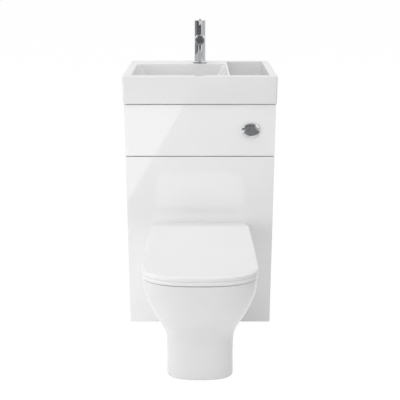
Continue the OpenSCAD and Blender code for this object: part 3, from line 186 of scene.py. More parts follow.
# %% Fine grain
def with_grain(tree, place, height, kind, size, grain_depth):
    """Adds a fine pattern to a height: 'mould' noise or 'spangle' crystals."""
    if kind == "spangle":
        pattern = add(tree, "ShaderNodeTexVoronoi", {"Scale": 1 / size})
        fine = pattern.outputs["Distance"]
    else:
        pattern = add(tree, "ShaderNodeTexNoise", {"Scale": 1 / size, "Detail": 3.0})
        fine = pattern.outputs["Fac"]
    tree.links.new(place, pattern.inputs["Vector"])
    total = add(tree, "ShaderNodeMath", {1: grain_depth}, operation="MULTIPLY_ADD")
    tree.links.new(fine, total.inputs[0])
    tree.links.new(height, total.inputs[2])
    return total.outputs[0]


print("grain helper ready")

# %% [markdown]
# One function builds a finish from those groups. All patterns use Object coordinates, which are
# fixed to the piece, so nothing slides when it moves. The values that are the same all over,
# such as how metallic it is, are set straight on the Principled shader.

# %% Build a finish
TONE_SIZE, PATCH_SIZE = 0.12, 0.06
finishes = {}


def placed_group(tree, group, place, **values):
    """Puts a shader group in a tree, with its place and values, and gives its one output."""
    node = add(tree, "ShaderNodeGroup", values, node_tree=group)
    tree.links.new(place, node.inputs["Place"])
    return node.outputs[0]


def finish(name, colour, deeper, shine, wave, grain=None, **shader):
    """Mixes a finish: shine is (clean, dulled), wave (size, depth) and grain (kind, size, depth)."""
    material = bpy.data.materials.new(name)
    material.use_nodes = True
    tree = material.node_tree
    principled = tree.nodes["Principled BSDF"]
    for socket, value in shader.items():
        principled.inputs[socket.replace("_", " ")].default_value = value
    place = add(tree, "ShaderNodeTexCoord").outputs["Object"]
    tone = placed_group(tree, toned, place, Size=TONE_SIZE, Colour=(*colour, 1), Deeper=(*deeper, 1))
    roughness = placed_group(tree, rubbed, place, Size=PATCH_SIZE, Clean=shine[0], Dulled=shine[1])
    height = placed_group(tree, ripple, place, Size=wave[0], Depth=wave[1])
    if grain:
        height = with_grain(tree, place, height, *grain)
    bump = add(tree, "ShaderNodeBump", {"Strength": 1.0, "Distance": 1.0})
    tree.links.new(tone, principled.inputs["Base Color"])
    tree.links.new(roughness, principled.inputs["Roughness"])
    tree.links.new(height, bump.inputs["Height"])
    tree.links.new(bump.outputs["Normal"], principled.inputs["Normal"])
    finishes[name] = material


print("finish mixer ready")

# %% [markdown]
# The finishes carry the names of the record's material slots. The front panels are lacquered
# and polished, so they get a clear coat. Glaze is almost as smooth but a little wavier, and the
# seat's plastic is softer still. The board behind the fronts has a dull printed face.

# %% White finishes
finish("white_gloss", (0.9, 0.9, 0.902), (0.885, 0.885, 0.89), (0.03, 0.05), (0.03, 3e-6),
       IOR=1.55, Coat_Weight=1.0, Coat_Roughness=0.02)
finish("board", (0.85, 0.85, 0.84), (0.83, 0.83, 0.815), (0.32, 0.42), (0.02, 4e-6), ("mould", 0.0012, 3e-5))
finish("basin_white", (0.79, 0.79, 0.79), (0.78, 0.78, 0.775), (0.07, 0.11), (0.05, 1.2e-5), IOR=1.55)
finish("ceramic", (0.84, 0.84, 0.84), (0.825, 0.825, 0.82), (0.06, 0.12), (0.045, 2.5e-5), IOR=1.55)
finish("seat_white", (0.86, 0.86, 0.86), (0.85, 0.85, 0.85), (0.12, 0.18), (0.06, 1e-5))
print(len(finishes), "white finishes")

# %% [markdown]
# Chrome and steel are fully metallic: chrome is a bluish mirror, and the brackets are zinc
# plated steel. The plumbing is moulded plastic, which has the same dull grain in each colour.

# %% Metals, plastics and rubber
MOULDED_SHINE, MOULDED_WAVE, MOULDED_GRAIN = (0.34, 0.46), (0.04, 2e-5), ("mould", 0.0009, 2e-5)

finish("chrome", (0.8, 0.81, 0.83), (0.76, 0.77, 0.79), (0.025, 0.07), (0.02, 1.5e-6), Metallic=1.0)
finish("steel", (0.66, 0.67, 0.68), (0.56, 0.57, 0.59), (0.28, 0.42), (0.02, 5e-6),
       ("spangle", 0.004, 2e-5), Metallic=1.0)
for name, colour, deeper in (("plastic_white", (0.84, 0.84, 0.83), (0.81, 0.81, 0.8)),
                             ("plastic_grey", (0.5, 0.51, 0.53), (0.45, 0.46, 0.48)),
                             ("plastic_blue", (0.3, 0.45, 0.62), (0.26, 0.4, 0.56))):
    finish(name, colour, deeper, MOULDED_SHINE, MOULDED_WAVE, MOULDED_GRAIN)
finish("rubber_dark", (0.06, 0.06, 0.06), (0.045, 0.045, 0.045), (0.6, 0.78), (0.02, 1e-5),
       ("mould", 0.0007, 4e-5))
finish("indicator_red", (0.62, 0.06, 0.12), (0.52, 0.04, 0.1), (0.08, 0.15), (0.004, 2e-6))
for name, node in nodes.items():
    node.data.materials.clear()
    node.data.materials.append(finishes[slot_of[name]])
print(len(finishes), "finishes mixed and put on the CAD nodes")

# %% [markdown]
# The spot on the tap's handle tells hot from cold: its left half is red and its right half blue.
# It could be two pieces, but such a spot is usually one small button with two colours printed on
# it. The X coordinate tells the halves apart, because the tap stands in the middle of the unit.

# %% Hot and cold halves of the indicator
COLD_BLUE = (0.03, 0.07, 0.42, 1)
spot = finishes["indicator_red"].node_tree
paint_socket = spot.nodes["Principled BSDF"].inputs["Base Color"]
warm = paint_socket.links[0].from_socket
halves = add(spot, "ShaderNodeSeparateXYZ")
right_half = add(spot, "ShaderNodeMath", {1: 0.0}, operation="GREATER_THAN")
two_tone = add(spot, "ShaderNodeMix", {MIX_SECOND: COLD_BLUE}, data_type="RGBA")
spot.links.new(add(spot, "ShaderNodeTexCoord").outputs["Object"], halves.inputs[0])
spot.links.new(halves.outputs["X"], right_half.inputs[0])
spot.links.new(right_half.outputs[0], two_tone.inputs[MIX_SHARE])
spot.links.new(warm, two_tone.inputs[MIX_FIRST])
spot.links.new(two_tone.outputs[MIX_COLOUR], paint_socket)
print("indicator is red and blue")

# %% [markdown]
# ## Making pieces
# A bmesh is an editable mesh in memory. A Bevel modifier rounds the sharp edges of plain
# shapes. Where the shape has its rounding already, a Weighted Normal modifier keeps the flat
# faces evenly shaded.

# %% Turn a bmesh into a finished piece
SHARP_ANGLE = math.radians(32)


def to_object(bm, name):
    """A new object in the scene that holds the bmesh."""
    mesh = bpy.data.meshes.new(name)
    bm.to_mesh(mesh)
    bm.free()
    made = bpy.data.objects.new(name, mesh)
    bpy.context.scene.collection.objects.link(made)
    return made


def piece(shape, name, node, edge=0.0, segments=2):
    """Finishes a bmesh or object as the piece that stands for a CAD node, with soft edges."""
    made = to_object(shape, name) if isinstance(shape, bmesh.types.BMesh) else shape
    made.name = made.data.name = name
    made.data.materials.clear()
    made.data.materials.append(finishes[slot_of[node]])
    made.data.shade_smooth()
    made.data.set_sharp_from_angle(angle=SHARP_ANGLE)
    if edge:
        soften = made.modifiers.new("soft edges", "BEVEL")
        soften.width = edge
        soften.segments = segments
        soften.limit_method = "ANGLE"
        soften.angle_limit = SHARP_ANGLE
        soften.use_clamp_overlap = False
        soften.harden_normals = True
    else:
        even = made.modifiers.new("even shading", "WEIGHTED_NORMAL")
        even.keep_sharp = True
    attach(made, body_of[node])
    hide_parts(node)
    print(name, "-", len(made.data.polygons), "faces")


# %% [markdown]
# Straight boards and plain mouldings already have the right shape in the CAD model, but every
# real edge is slightly rounded and catches a line of light. The CAD mesh is loose triangles, so
# a copy is merged and its flat faces joined, and the bevel then rounds its edges: most on the
# boards, less on mouldings, and least on small fittings.

# %% Soften the edges of CAD shapes
BOARD_EDGE, MOULDED_EDGE, SMALL_EDGE = 0.0008, 0.0006, 0.0003
BOARDS = ["side_panel_left", "side_panel_right", "top_front_rail", "middle_rail", "top_back_rail",
          "cistern_shelf", "fascia", "lower_panel"]
MOULDINGS = ["cistern_tank", "cistern_lid", "trap_body", "trap_cup", "trap_inlet_nut", "waste_nut",
             "flush_valve_nut", "fill_valve_nut", "button_nut", "float_cup", "soil_connector",
             "fascia_clips", "panel_clips", "wall_brackets", "glides", "waste_pipe", "tail_clip",
             "bottom_back_rail"]
SMALL_PARTS = ["carcass_screws", "hinge_posts", "hinge_pins", "seat_buffers", "lid_buffers",
               "floor_brackets", "button_housing", "waste_gasket", "tap_clamp", "tap_aerator",
               "tap_cartridge", "tap_gasket", "hot_tail", "cold_tail", "flush_valve_body",
               "flush_valve_lift", "fill_valve", "flush_pipe", "air_tubes", "pan_inlet_seal"]


def merged(node):
    """A closed bmesh copy of a CAD node, with flat faces joined."""
    bm = bmesh.new()
    bm.from_mesh(nodes[node].data)
    bmesh.ops.remove_doubles(bm, verts=bm.verts, dist=1e-6)
    bmesh.ops.dissolve_limit(bm, angle_limit=math.radians(1), verts=bm.verts, edges=bm.edges)
    return bm


for members, edge, segments in ((BOARDS, BOARD_EDGE, 3), (MOULDINGS, MOULDED_EDGE, 2),
                                (SMALL_PARTS, SMALL_EDGE, 2)):
    for node in members:
        piece(merged(node), node + "_eased", node, edge, segments)

# %% [markdown]
# ## Lofts and cuts
# Ceramic forms change outline as they rise. Joining rings of points by hand would mean long
# lists of faces, so `loft` starts from a flat disc, moves its corners to the lowest outline, and
# extrudes it ring by ring up to the highest.

# %% Loft a closed solid
def loft(rings):
    """A closed bmesh through rings of (x, y, z) points, all of the same count."""
    bm = bmesh.new()
    bmesh.ops.create_circle(bm, cap_ends=True, segments=len(rings[0]), radius=1)
    bm.faces.ensure_lookup_table()
    face = bm.faces[0]
    for corner, point in zip(list(face.verts), rings[0]):
        corner.co = point
    for level, ring in enumerate(rings[1:]):
        below = {tuple(corner.co): i for i, corner in enumerate(face.verts)}
        extruded = bmesh.ops.extrude_face_region(bm, geom=[face])["geom"]
        if level:
            bmesh.ops.delete(bm, geom=[face], context="FACES_ONLY")
        face = [part for part in extruded if isinstance(part, bmesh.types.BMFace)][0]
        for corner in list(face.verts):
            corner.co = ring[below[tuple(corner.co)]]
    bmesh.ops.recalc_face_normals(bm, faces=bm.faces)
    return bm


print("loft ready")

# %% [markdown]
# `combine` joins and cuts closed solids with Boolean modifiers, as the potter joins and trims
# clay, and keeps only the result. A cut leaves points that nearly coincide and flat faces in
# several parts, and `tidied` merges them before the piece is finished.

# %% Join and cut closed solids
def combine(base, operation, others):
    """Joins, cuts or intersects base with each other solid in turn; all are temporary objects."""
    for other in others:
        step = base.modifiers.new("combine", "BOOLEAN")
        step.operation = operation
        step.solver = "EXACT"
        step.object = other
    graph = bpy.context.evaluated_depsgraph_get()
    joined = bpy.data.meshes.new_from_object(base.evaluated_get(graph))
    base.modifiers.clear()
    base.data = joined
    for other in others:
        bpy.data.objects.remove(other)
    return base


def tidied(made):
    """Merges coincident points of a combined object and joins its flat faces."""
    bm = bmesh.new()
    bm.from_mesh(made.data)
    bmesh.ops.remove_doubles(bm, verts=bm.verts, dist=2e-5)
    bmesh.ops.dissolve_limit(bm, angle_limit=math.radians(0.5), verts=bm.verts, edges=bm.edges)
    bm.to_mesh(made.data)
    bm.free()
    return made


print("joining and cutting ready")

# %% [markdown]
# The solids that join and cut are mostly boxes and round bars. Each is a stock bmesh shape, made
# at the origin, and then stretched, turned and moved. `lay` does the turning and moving, and
# the turned tap parts use it too. `rounded` draws the outline of a box with round corners.

# %% Blocks, bars and rounded outlines
UP, FORWARD, BACKWARD, SIDEWAYS = (0, 0, 1), (0, -1, 0), (0, 1, 0), (1, 0, 0)
SIDES = (-1, 1)
CORNER_STEPS = 10


def lay(bm, centre, direction):
    """Turns a bmesh that stands on the origin to lie along a direction, and moves it to centre."""
    turn = Vector(UP).rotation_difference(Vector(direction)).to_matrix()
    bmesh.ops.rotate(bm, matrix=turn, verts=bm.verts)
    bmesh.ops.translate(bm, vec=centre, verts=bm.verts)


def block(low, high):
    """A temporary box between two corners."""
    bm = bmesh.new()
    bmesh.ops.create_cube(bm, size=1)
    low, high = Vector(low), Vector(high)
    bmesh.ops.scale(bm, vec=high - low, verts=bm.verts)
    bmesh.ops.translate(bm, vec=(high + low) / 2, verts=bm.verts)
    return to_object(bm, "block")


def rod(centre, direction, radius, length, segments=64):
    """A temporary round bar that starts at centre and runs along a direction."""
    bm = bmesh.new()
    bmesh.ops.create_cone(
        bm, cap_ends=True, segments=segments, radius1=radius, radius2=radius, depth=length)
    bmesh.ops.translate(bm, vec=(0, 0, length / 2), verts=bm.verts)
    lay(bm, centre, direction)
    return to_object(bm, "rod")


def rounded(x0, x1, y0, y1, radius, z):
    """Points round a rectangle with arcs at its corners."""
    corners = [(x0 + radius, y0 + radius, 180), (x1 - radius, y0 + radius, 270),
               (x1 - radius, y1 - radius, 0), (x0 + radius, y1 - radius, 90)]
    points = []
    for x, y, start in corners:
        for i in range(CORNER_STEPS + 1):
            angle = math.radians(start + 90 * i / CORNER_STEPS)
            points.append((x + radius * math.cos(angle), y + radius * math.sin(angle), z))
    return points


print("blocks and bars ready")

# %% [markdown]
# ## Basin
# The basin is one thick casting: a wide bowl on the left, a deep open recess on the right and
# a ledge for the tap behind. The CAD boxes of the basin, its waste and the tap's ring give the
# places, and the names below give the rims, depths, slopes and lips. OVER is how far a cutter
# reaches past the face that it opens: where two faces lie in one plane, a cut can go wrong.

# %% Basin sizes
RIM_SIDE, RIM_FRONT, LEDGE, RECESS_RIM = 0.025, 0.021, 0.086, 0.022
BOWL_DEPTH, RECESS_DEPTH, RECESS_WIDTH, DIVIDER = 0.105, 0.070, 0.129, 0.005
DRAFT_SIDE, DRAFT_FRONT, DRAFT_BACK = 0.034, 0.052, 0.022
BOWL_CORNER, BOWL_CORNER_GROWTH, RECESS_CORNER = 0.014, 0.016, 0.010
BASIN_WALL, SHELL, FLOOR_FILLET, RECESS_FILLET = 0.012, 0.010, 0.016, 0.006
LIP, OUTER_LIP, FOOT_EASE, BASIN_CORNER = 0.0022, 0.0025, 0.0008, 0.006
WASTE_HOLE, TAP_HOLE = 0.0225, 0.0175
OVER = 0.002

basin_low, basin_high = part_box("basin")
rim, basin_foot = basin_high.z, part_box("side_panel_left")[1].z
recess_x1 = basin_high.x - RIM_SIDE
recess_x0 = recess_x1 - RECESS_WIDTH
bowl_x0, bowl_x1 = basin_low.x + RIM_SIDE, recess_x0 - DIVIDER
bowl_y0, bowl_y1 = basin_low.y + RIM_FRONT, basin_high.y - LEDGE
waste_low, waste_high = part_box("basin_waste")
waste = (waste_low + waste_high) / 2
tap_low, tap_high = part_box("tap_base_ring")
tap = (tap_low + tap_high) / 2
print("bowl", round(bowl_x1 - bowl_x0, 3), "by", round(bowl_y1 - bowl_y0, 3), "m")

# %% [markdown]
# The bowl narrows as it drops and ends in a round fillet, so its space is a loft of rounded
# rectangles. Two easing powers shape its walls: the sides lean in most below the rim and stand
# upright at the floor, and the front and back lean a little more as they go down. The same loft,
# grown by the shell's thickness, is the outside of the bowl below the rim.

# %% The bowl's space
END_EASE, SIDE_EASE = 0.8, 1.6
LIP_STEPS, WALL_STEPS, FILLET_STEPS = 6, 12, 7


def quarter_round(size):
    """Pairs (drop, out) down a quarter round: drop grows from 0 to size as out falls to 0."""
    turns = [math.radians(90 * i / LIP_STEPS) for i in range(LIP_STEPS + 1)]
    return [(size * (1 - math.cos(turn)), size * (1 - math.sin(turn))) for turn in turns]


def bowl_ring(fall, grow, fillet=0.0):
    """The bowl's outline when a share of its depth has passed; fillet draws it in further."""
    ease, side_ease = 1 - (1 - fall) ** END_EASE, 1 - (1 - fall) ** SIDE_EASE
    inward = fillet - grow
    return rounded(
        bowl_x0 + DRAFT_SIDE * side_ease + inward, bowl_x1 - DRAFT_SIDE * side_ease - inward,
        bowl_y0 + DRAFT_FRONT * ease + inward, bowl_y1 - DRAFT_BACK * ease - inward,
        BOWL_CORNER + BOWL_CORNER_GROWTH * ease + grow, rim - BOWL_DEPTH * fall)


def bowl_solid(grow, lip=0.0):
    """The bowl's space with its rounded lip, or with no lip the outside of its grown shell."""
    wall_end = 1 - FLOOR_FILLET / BOWL_DEPTH
    start = (lip or OVER) / BOWL_DEPTH
    rings = [bowl_ring(start + (wall_end - start) * i / WALL_STEPS, grow) for i in range(WALL_STEPS + 1)]
    for i in range(1, FILLET_STEPS + 1):
        angle = math.radians(90 * i / FILLET_STEPS)
        fall = wall_end + (1 - wall_end) * math.sin(angle)
        rings.append(bowl_ring(fall, grow, FLOOR_FILLET * (1 - math.cos(angle))))
    rings = [[(x, y, z - grow) for x, y, z in ring] for ring in rings]
    if lip:
        mouth = [bowl_ring(drop / BOWL_DEPTH, out) for drop, out in quarter_round(lip)[:-1]]
        rings = [[(x, y, rim + OVER) for x, y, z in mouth[0]]] + mouth + rings
    return to_object(loft(rings), "bowl")


print("bowl outlines ready")

# %% [markdown]
# The recess is a plain box with round corners, a round lip and a filleted floor. One quarter
# round gives both. On the lip its drop goes down and its out outwards, and on the fillet the two
# change places.

# %% The recess's space
def recess_ring(z, cut):
    """The recess's outline at a height, drawn in by cut, or let out where cut is negative."""
    return rounded(recess_x0 + cut, recess_x1 - cut, bowl_y0 + cut, basin_high.y - RECESS_RIM - cut,
                   RECESS_CORNER - min(cut, 0), z)


recess_levels = [(rim + OVER, -LIP)] + [(rim - drop, -out) for drop, out in quarter_round(LIP)]
recess_levels += [(rim - RECESS_DEPTH + out, drop) for drop, out in quarter_round(RECESS_FILLET)]
recess = to_object(loft([recess_ring(z, cut) for z, cut in recess_levels]), "recess")
print("recess", RECESS_WIDTH, "by", RECESS_DEPTH, "m")

# %% [markdown]
# Now the casting is put together in the potter's order: the outside, hollowed from below, then
# the shells of bowl and recess, and last the two open spaces and the holes for waste and tap.

# %% Shape the basin
DRILL_LENGTH = 0.06

outer_levels = [(basin_foot, FOOT_EASE), (basin_foot + FOOT_EASE, 0)]
outer_levels += [(rim - drop, cut) for drop, cut in reversed(quarter_round(OUTER_LIP))]
casting = to_object(loft([
    rounded(basin_low.x + cut, basin_high.x - cut, basin_low.y + cut, basin_high.y - cut,
            BASIN_CORNER - cut, z) for z, cut in outer_levels]), "basin")
under_side = block(
    (basin_low.x + BASIN_WALL, basin_low.y + BASIN_WALL, basin_foot - OVER),
    (basin_high.x - BASIN_WALL, basin_high.y - BASIN_WALL, rim - BASIN_WALL))
recess_box = block(
    (recess_x0 - DIVIDER, bowl_y0 - SHELL, rim - RECESS_DEPTH - SHELL),
    (recess_x1 + SHELL, basin_high.y - RECESS_RIM + SHELL, rim - OVER))
waste_drill = rod((waste.x, waste.y, rim - BOWL_DEPTH - DRILL_LENGTH / 2), UP, WASTE_HOLE, DRILL_LENGTH)
tap_drill = rod((tap.x, tap.y, rim - DRILL_LENGTH / 2), UP, TAP_HOLE, DRILL_LENGTH)
combine(casting, "DIFFERENCE", [under_side])
combine(casting, "UNION", [bowl_solid(SHELL), recess_box])
combine(casting, "DIFFERENCE", [bowl_solid(0, LIP), recess, waste_drill, tap_drill])
piece(tidied(casting), "basin_casting", "basin")

# %% [markdown]
# ## Pan
# The pan is one hollow ceramic casting. Seen from the front it is narrow and upright at the
# foot, then swells smoothly to a wide rim. An easing curve says how far it has opened out at
# each height, and the outline at each height is a D: straight at the back, round at the front.

# %% Outlines of the pan
FOOT_REACH, FOOT_HALF, FOOT_CORNER = 0.365, 0.102, 0.048
PAN_REACH, PAN_HALF, RIM_CORNER = 0.490, 0.1655, 0.084
WAIST, OPENING_EASE, FLARE, FLARE_HEIGHT, BACK_TAPER = 0.145, 1.25, 0.002, 0.090, 0.005
PAN_WALL, DECK = 0.011, 0.026
SQUARENESS, WAIST_SOFTNESS = 2.6, 0.1
SIDE_STEPS, FRONT_STEPS = 8, 64
pan_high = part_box("pan_body")[1]
panel_face = pan_high.y


def rounded_power(value, squareness):
    """A cosine or sine raised so that a circle becomes a squarish oval."""
    return math.copysign(abs(value) ** (2 / squareness), value)


def d_outline(back_half, half, back, widest, front, z):
    """Points of a D: sides that ease out from back_half to half, then a round front."""
    side = []
    for i in range(SIDE_STEPS):
        share = i / SIDE_STEPS
        side.append((half - (half - back_half) * (1 - share) ** 2, back + (widest - back) * share))
    points = [(-x, y, z) for x, y in side]
    for j in range(FRONT_STEPS + 1):
        angle = math.pi * (1 + j / FRONT_STEPS)
        points.append((half * rounded_power(math.cos(angle), SQUARENESS),
                       widest + (widest - front) * rounded_power(math.sin(angle), SQUARENESS), z))
    return points + [(x, y, z) for x, y in reversed(side)]


def opened(z):
    """How far the pan has opened out at a height, 1 at the rim; the waist is a soft curve."""
    share = (z - WAIST) / (pan_high.z - WAIST)
    soft = (share + math.sqrt(share * share + WAIST_SOFTNESS ** 2)) / 2
    return math.sin(math.pi / 2 * min(soft, 1)) ** OPENING_EASE


def pan_outline(z, cut, back=0.0):
    """The pan's outline at a height, drawn in by cut; back moves the straight edge behind."""
    swell = opened(z)
    flare = FLARE * max(0, 1 - z / FLARE_HEIGHT) ** 2
    half = FOOT_HALF + (PAN_HALF - FOOT_HALF) * swell + flare - cut
    front = panel_face - FOOT_REACH - (PAN_REACH - FOOT_REACH) * swell + cut
    corner = FOOT_CORNER + (RIM_CORNER - FOOT_CORNER) * swell
    return d_outline(half - BACK_TAPER * swell, half, panel_face + back, front + corner, front, z)


print("pan rim half width", PAN_HALF, "m, foot half width", FOOT_HALF, "m")

# %% [markdown]
# The outside is lofted first: a small round edge at the foot, many rings where the form swells,
# and a round edge at the rim. The hollow inside is the same loft, one wall further in and with
# fewer rings, and it stops below the rim's thick deck.

# %% The pan's outside and hollow
FOOT_EDGE = [(0, 0.006), (0.0008, 0.0042), (0.002, 0.0026), (0.0038, 0.0014), (0.006, 0.0006), (0.011, 0)]
RIM_EDGE = [(0.008, 0), (0.004, 0), (0.0022, 0.0002), (0.0011, 0.0006), (0.0004, 0.0012), (0, 0.0022)]
SWELL_LOW, SWELL_TOP_GAP, SWELL_STEPS, HOLLOW_STEPS = 0.03, 0.012, 50, 12
swell_rise = pan_high.z - SWELL_LOW - SWELL_TOP_GAP
heights = FOOT_EDGE + [(SWELL_LOW + swell_rise * i / SWELL_STEPS, 0) for i in range(SWELL_STEPS + 1)]
heights += [(pan_high.z - fall, cut) for fall, cut in RIM_EDGE]
outer = [pan_outline(z, cut) for z, cut in heights]
roof = pan_high.z - DECK
hollow_levels = [-OVER, WAIST / 2]
hollow_levels += [WAIST + (roof - WAIST) * i / HOLLOW_STEPS for i in range(HOLLOW_STEPS + 1)]
pan = to_object(loft(outer), "pan")
inside_wall = to_object(loft([pan_outline(z, PAN_WALL, OVER) for z in hollow_levels]), "hollow")
combine(pan, "DIFFERENCE", [inside_wall])
print("pan", round(pan_high.z, 3), "m high")

# %% [markdown]
# The bowl narrows from a wide mouth to the sump, where the water stands. Its rings are ovals
# that shrink slowly at first and fast near the bottom, and they stay inside the pan's wall.

# %% The bowl of the pan
MOUTH_FRONT, MOUTH_LENGTH, MOUTH_HALF = 0.038, 0.286, 0.117
TRAP_LENGTH, TRAP_BORE, TRAP_WALL = 0.130, 0.036, 0.009
SUMP = Vector((0, panel_face - 0.236, 0.072))
BOWL_EASE, BOWL_ROOT, OVAL_SQUARENESS, OVAL_STEPS = 2.6, 0.5, 2.2, 72
BOWL_CLEARANCE, SUMP_INSET, FLOOR_SHARE, FLOOR_INSET = 0.002, 0.003, 0.001, 0.004
BOWL_SHARES = [0.004, 0.015, 0.035, 0.06, 0.1] + [0.15 + 0.05 * i for i in range(18)]
mouth_front = panel_face - PAN_REACH + MOUTH_FRONT
mouth_back = mouth_front + MOUTH_LENGTH


def oval(half_x, half_y, centre_y, z, squareness=OVAL_SQUARENESS):
    """Points of a closed squarish oval, level at z."""
    turns = [2 * math.pi * i / OVAL_STEPS for i in range(OVAL_STEPS)]
    return [(half_x * rounded_power(math.cos(turn), squareness),
             centre_y + half_y * rounded_power(math.sin(turn), squareness), z) for turn in turns]


def bowl_level(share, grow):
    """The bowl's outline from 0 at the sump to 1 at the rim, kept inside the pan's wall."""
    ease = (1 - (1 - share) ** BOWL_EASE) ** BOWL_ROOT
    z = SUMP.z + (pan_high.z - SUMP.z) * share
    swell = opened(z)
    wall = 2 * PAN_WALL + BOWL_CLEARANCE
    room = FOOT_HALF + (PAN_HALF - FOOT_HALF) * swell - wall
    floor_half = TRAP_BORE - SUMP_INSET
    half = floor_half + (min(MOUTH_HALF, room) - floor_half) * ease
    limit = panel_face - FOOT_REACH - (PAN_REACH - FOOT_REACH) * swell
    limit += wall + (MOUTH_FRONT - wall) * swell
    front = SUMP.y - TRAP_BORE + (limit - SUMP.y + TRAP_BORE) * ease
    back = SUMP.y + TRAP_BORE + (mouth_back - SUMP.y - TRAP_BORE) * ease
    return oval(half + grow, (back - front) / 2 + grow, (front + back) / 2, z)


def pan_bowl(grow, top):
    """The bowl as a closed solid, grown all round, and carried up above the rim by top."""
    rings = [[(x, y, SUMP.z - grow) for x, y, z in bowl_level(FLOOR_SHARE, grow - FLOOR_INSET)]]
    rings += [bowl_level(share, grow) for share in BOWL_SHARES]
    if top:
        rings.append([(x, y, pan_high.z + top) for x, y, z in rings[-1]])
    return to_object(loft(rings), "pan_bowl")


print("pan bowl", MOUTH_LENGTH, "by", 2 * MOUTH_HALF, "m")

# %% [markdown]
# The trapway holds the water that seals the drain: a tube that leaves the sump, rises over a
# weir and drops to the outlet. A swept curve would do, but a loft lets each ring stand square to
# the path. Every step turns the path by some degrees and moves on by some metres.

# %% The trapway
RISE, WEIR, DROP = [(5.5, 0.0048)] * 10, [(0, 0.02)] * 2, [(-5, 0.00436)] * 17
TRAP_STEPS = [(0, 0)] + RISE + WEIR + DROP
TRAP_START = Vector((0, SUMP.y - 0.004, SUMP.z + TRAP_BORE + 0.001))
TUBE_SIDES = 40


def trapway(radius):
    """A tube of a radius that follows the steps from the sump over the weir to the outlet."""
    point, slope = TRAP_START, 0.0
    around = [2 * math.pi * k / TUBE_SIDES for k in range(TUBE_SIDES)]
    rings = []
    for turn, length in TRAP_STEPS:
        slope += math.radians(turn)
        point = point + length * Vector((0, math.cos(slope), math.sin(slope)))
        across, up = Vector((1, 0, 0)), Vector((0, -math.sin(slope), math.cos(slope)))
        rings.append([tuple(point + radius * (across * math.cos(a) + up * math.sin(a))) for a in around])
    return to_object(loft(rings), "trapway")


print("trapway", len(TRAP_STEPS), "rings")

# %% [markdown]
# Clay has an even thickness, so the bowl, the trapway, the flush inlet and the outlet are first
# joined on as solid limbs, each grown by a wall and trimmed to the outside. Then their spaces
# are cut, with the bores for the hinge bolts and for the two screws near the floor.

# %% Join and cut the pan
INLET_HEIGHT, INLET_BOSS, INLET_SEAT, INLET_SEAT_DEPTH, INLET_WAY = 0.322, 0.036, 0.027, 0.060, 0.020
SOIL_HEIGHT, SOIL_BOSS, SOIL_BORE = 0.180, 0.051, 0.045
SHELL_OVERLAP, INLET_OVERLAP, WAY_OVERLAP, SOIL_INSET = 0.001, 0.014, 0.03, 0.003
HINGE_X, HINGE_BORE, HINGE_BORE_DEPTH = 0.078, 0.0053, 0.030
SCREW_BORE, SCREW_IN, SCREW_BACK, SCREW_HEIGHT, BORE_LENGTH = 0.0033, 0.02, 0.150, 0.022, 0.04
hinge_low, hinge_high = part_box("hinge_pins")
hinge_y, hinge_z = (hinge_low.y + hinge_high.y) / 2, (hinge_low.z + hinge_high.z) / 2
outlet_y = SUMP.y + TRAP_LENGTH
inlet_length, outlet_length = panel_face - mouth_back, panel_face - outlet_y
limbs = [
    pan_bowl(PAN_WALL - SHELL_OVERLAP, 0), trapway(TRAP_BORE + TRAP_WALL),
    rod((0, panel_face, INLET_HEIGHT), FORWARD, INLET_BOSS, inlet_length + INLET_OVERLAP),
    rod((0, outlet_y - TRAP_WALL, SOIL_HEIGHT), BACKWARD, SOIL_BOSS, outlet_length - SOIL_INSET)]
trimmed = [combine(limb, "INTERSECT", [to_object(loft(outer), "outer")]) for limb in limbs]
combine(pan, "UNION", trimmed)
holes = [
    pan_bowl(0, OVER), trapway(TRAP_BORE),
    rod((0, panel_face + OVER, INLET_HEIGHT), FORWARD, INLET_SEAT, INLET_SEAT_DEPTH),
    rod((0, panel_face + OVER, INLET_HEIGHT), FORWARD, INLET_WAY, inlet_length + WAY_OVERLAP),
    rod((0, outlet_y, SOIL_HEIGHT), BACKWARD, SOIL_BORE, outlet_length)]
for side in SIDES:
    hinge_foot = (side * HINGE_X, hinge_y, pan_high.z - HINGE_BORE_DEPTH)
    screw_start = (side * (FOOT_HALF - SCREW_IN), panel_face - SCREW_BACK, SCREW_HEIGHT)
    holes.append(rod(hinge_foot, UP, HINGE_BORE, BORE_LENGTH))
    holes.append(rod(screw_start, (side, 0, 0), SCREW_BORE, BORE_LENGTH))
for hole in holes:
    combine(pan, "DIFFERENCE", [hole])
piece(tidied(pan), "pan_casting", "pan_body")

# %% [markdown]
# ## Seat and lid
# Both are thermoset mouldings with the same D outline, straight across the back. They turn on
# one pair of pins, the seat on its inner barrels and the lid on its outer ones, so both are made
# from the same outline and barrels.

# %% Outline and barrels of the seat and lid
LID_TAPER, LID_BACK_GAP, KNUCKLE, KNUCKLE_GAP, KNUCKLE_LENGTH = 0.006, 0.097, 0.007, 0.0025, 0.015
PIN_BORE, PIN_BORE_START, PIN_BORE_LENGTH, BARREL_SIDES = 0.00405, 0.03, 0.09, 48
lid_low, lid_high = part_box("lid")
lid_half, lid_front = lid_high.x, lid_low.y
lid_back = panel_face - LID_BACK_GAP
seat_back = hinge_y - KNUCKLE - KNUCKLE_GAP


def cover_outline(back, z, cut):
    """The shared outline of the seat and lid, drawn in by cut."""
    return d_outline(lid_half - LID_TAPER - cut, lid_half - cut, back - cut,
                     lid_front + RIM_CORNER, lid_front + cut, z)


def barrels(inner):
    """The two hinge barrels of the seat or the lid, as temporary bars."""
    return [rod((side * inner, hinge_y, hinge_z), (side, 0, 0), KNUCKLE, KNUCKLE_LENGTH, BARREL_SIDES)
            for side in SIDES]


def pin_bores():
    """Bars that bore the barrels for the hinge pins."""
    return [rod((side * PIN_BORE_START, hinge_y, hinge_z), (side, 0, 0), PIN_BORE, PIN_BORE_LENGTH,
                BARREL_SIDES) for side in SIDES]


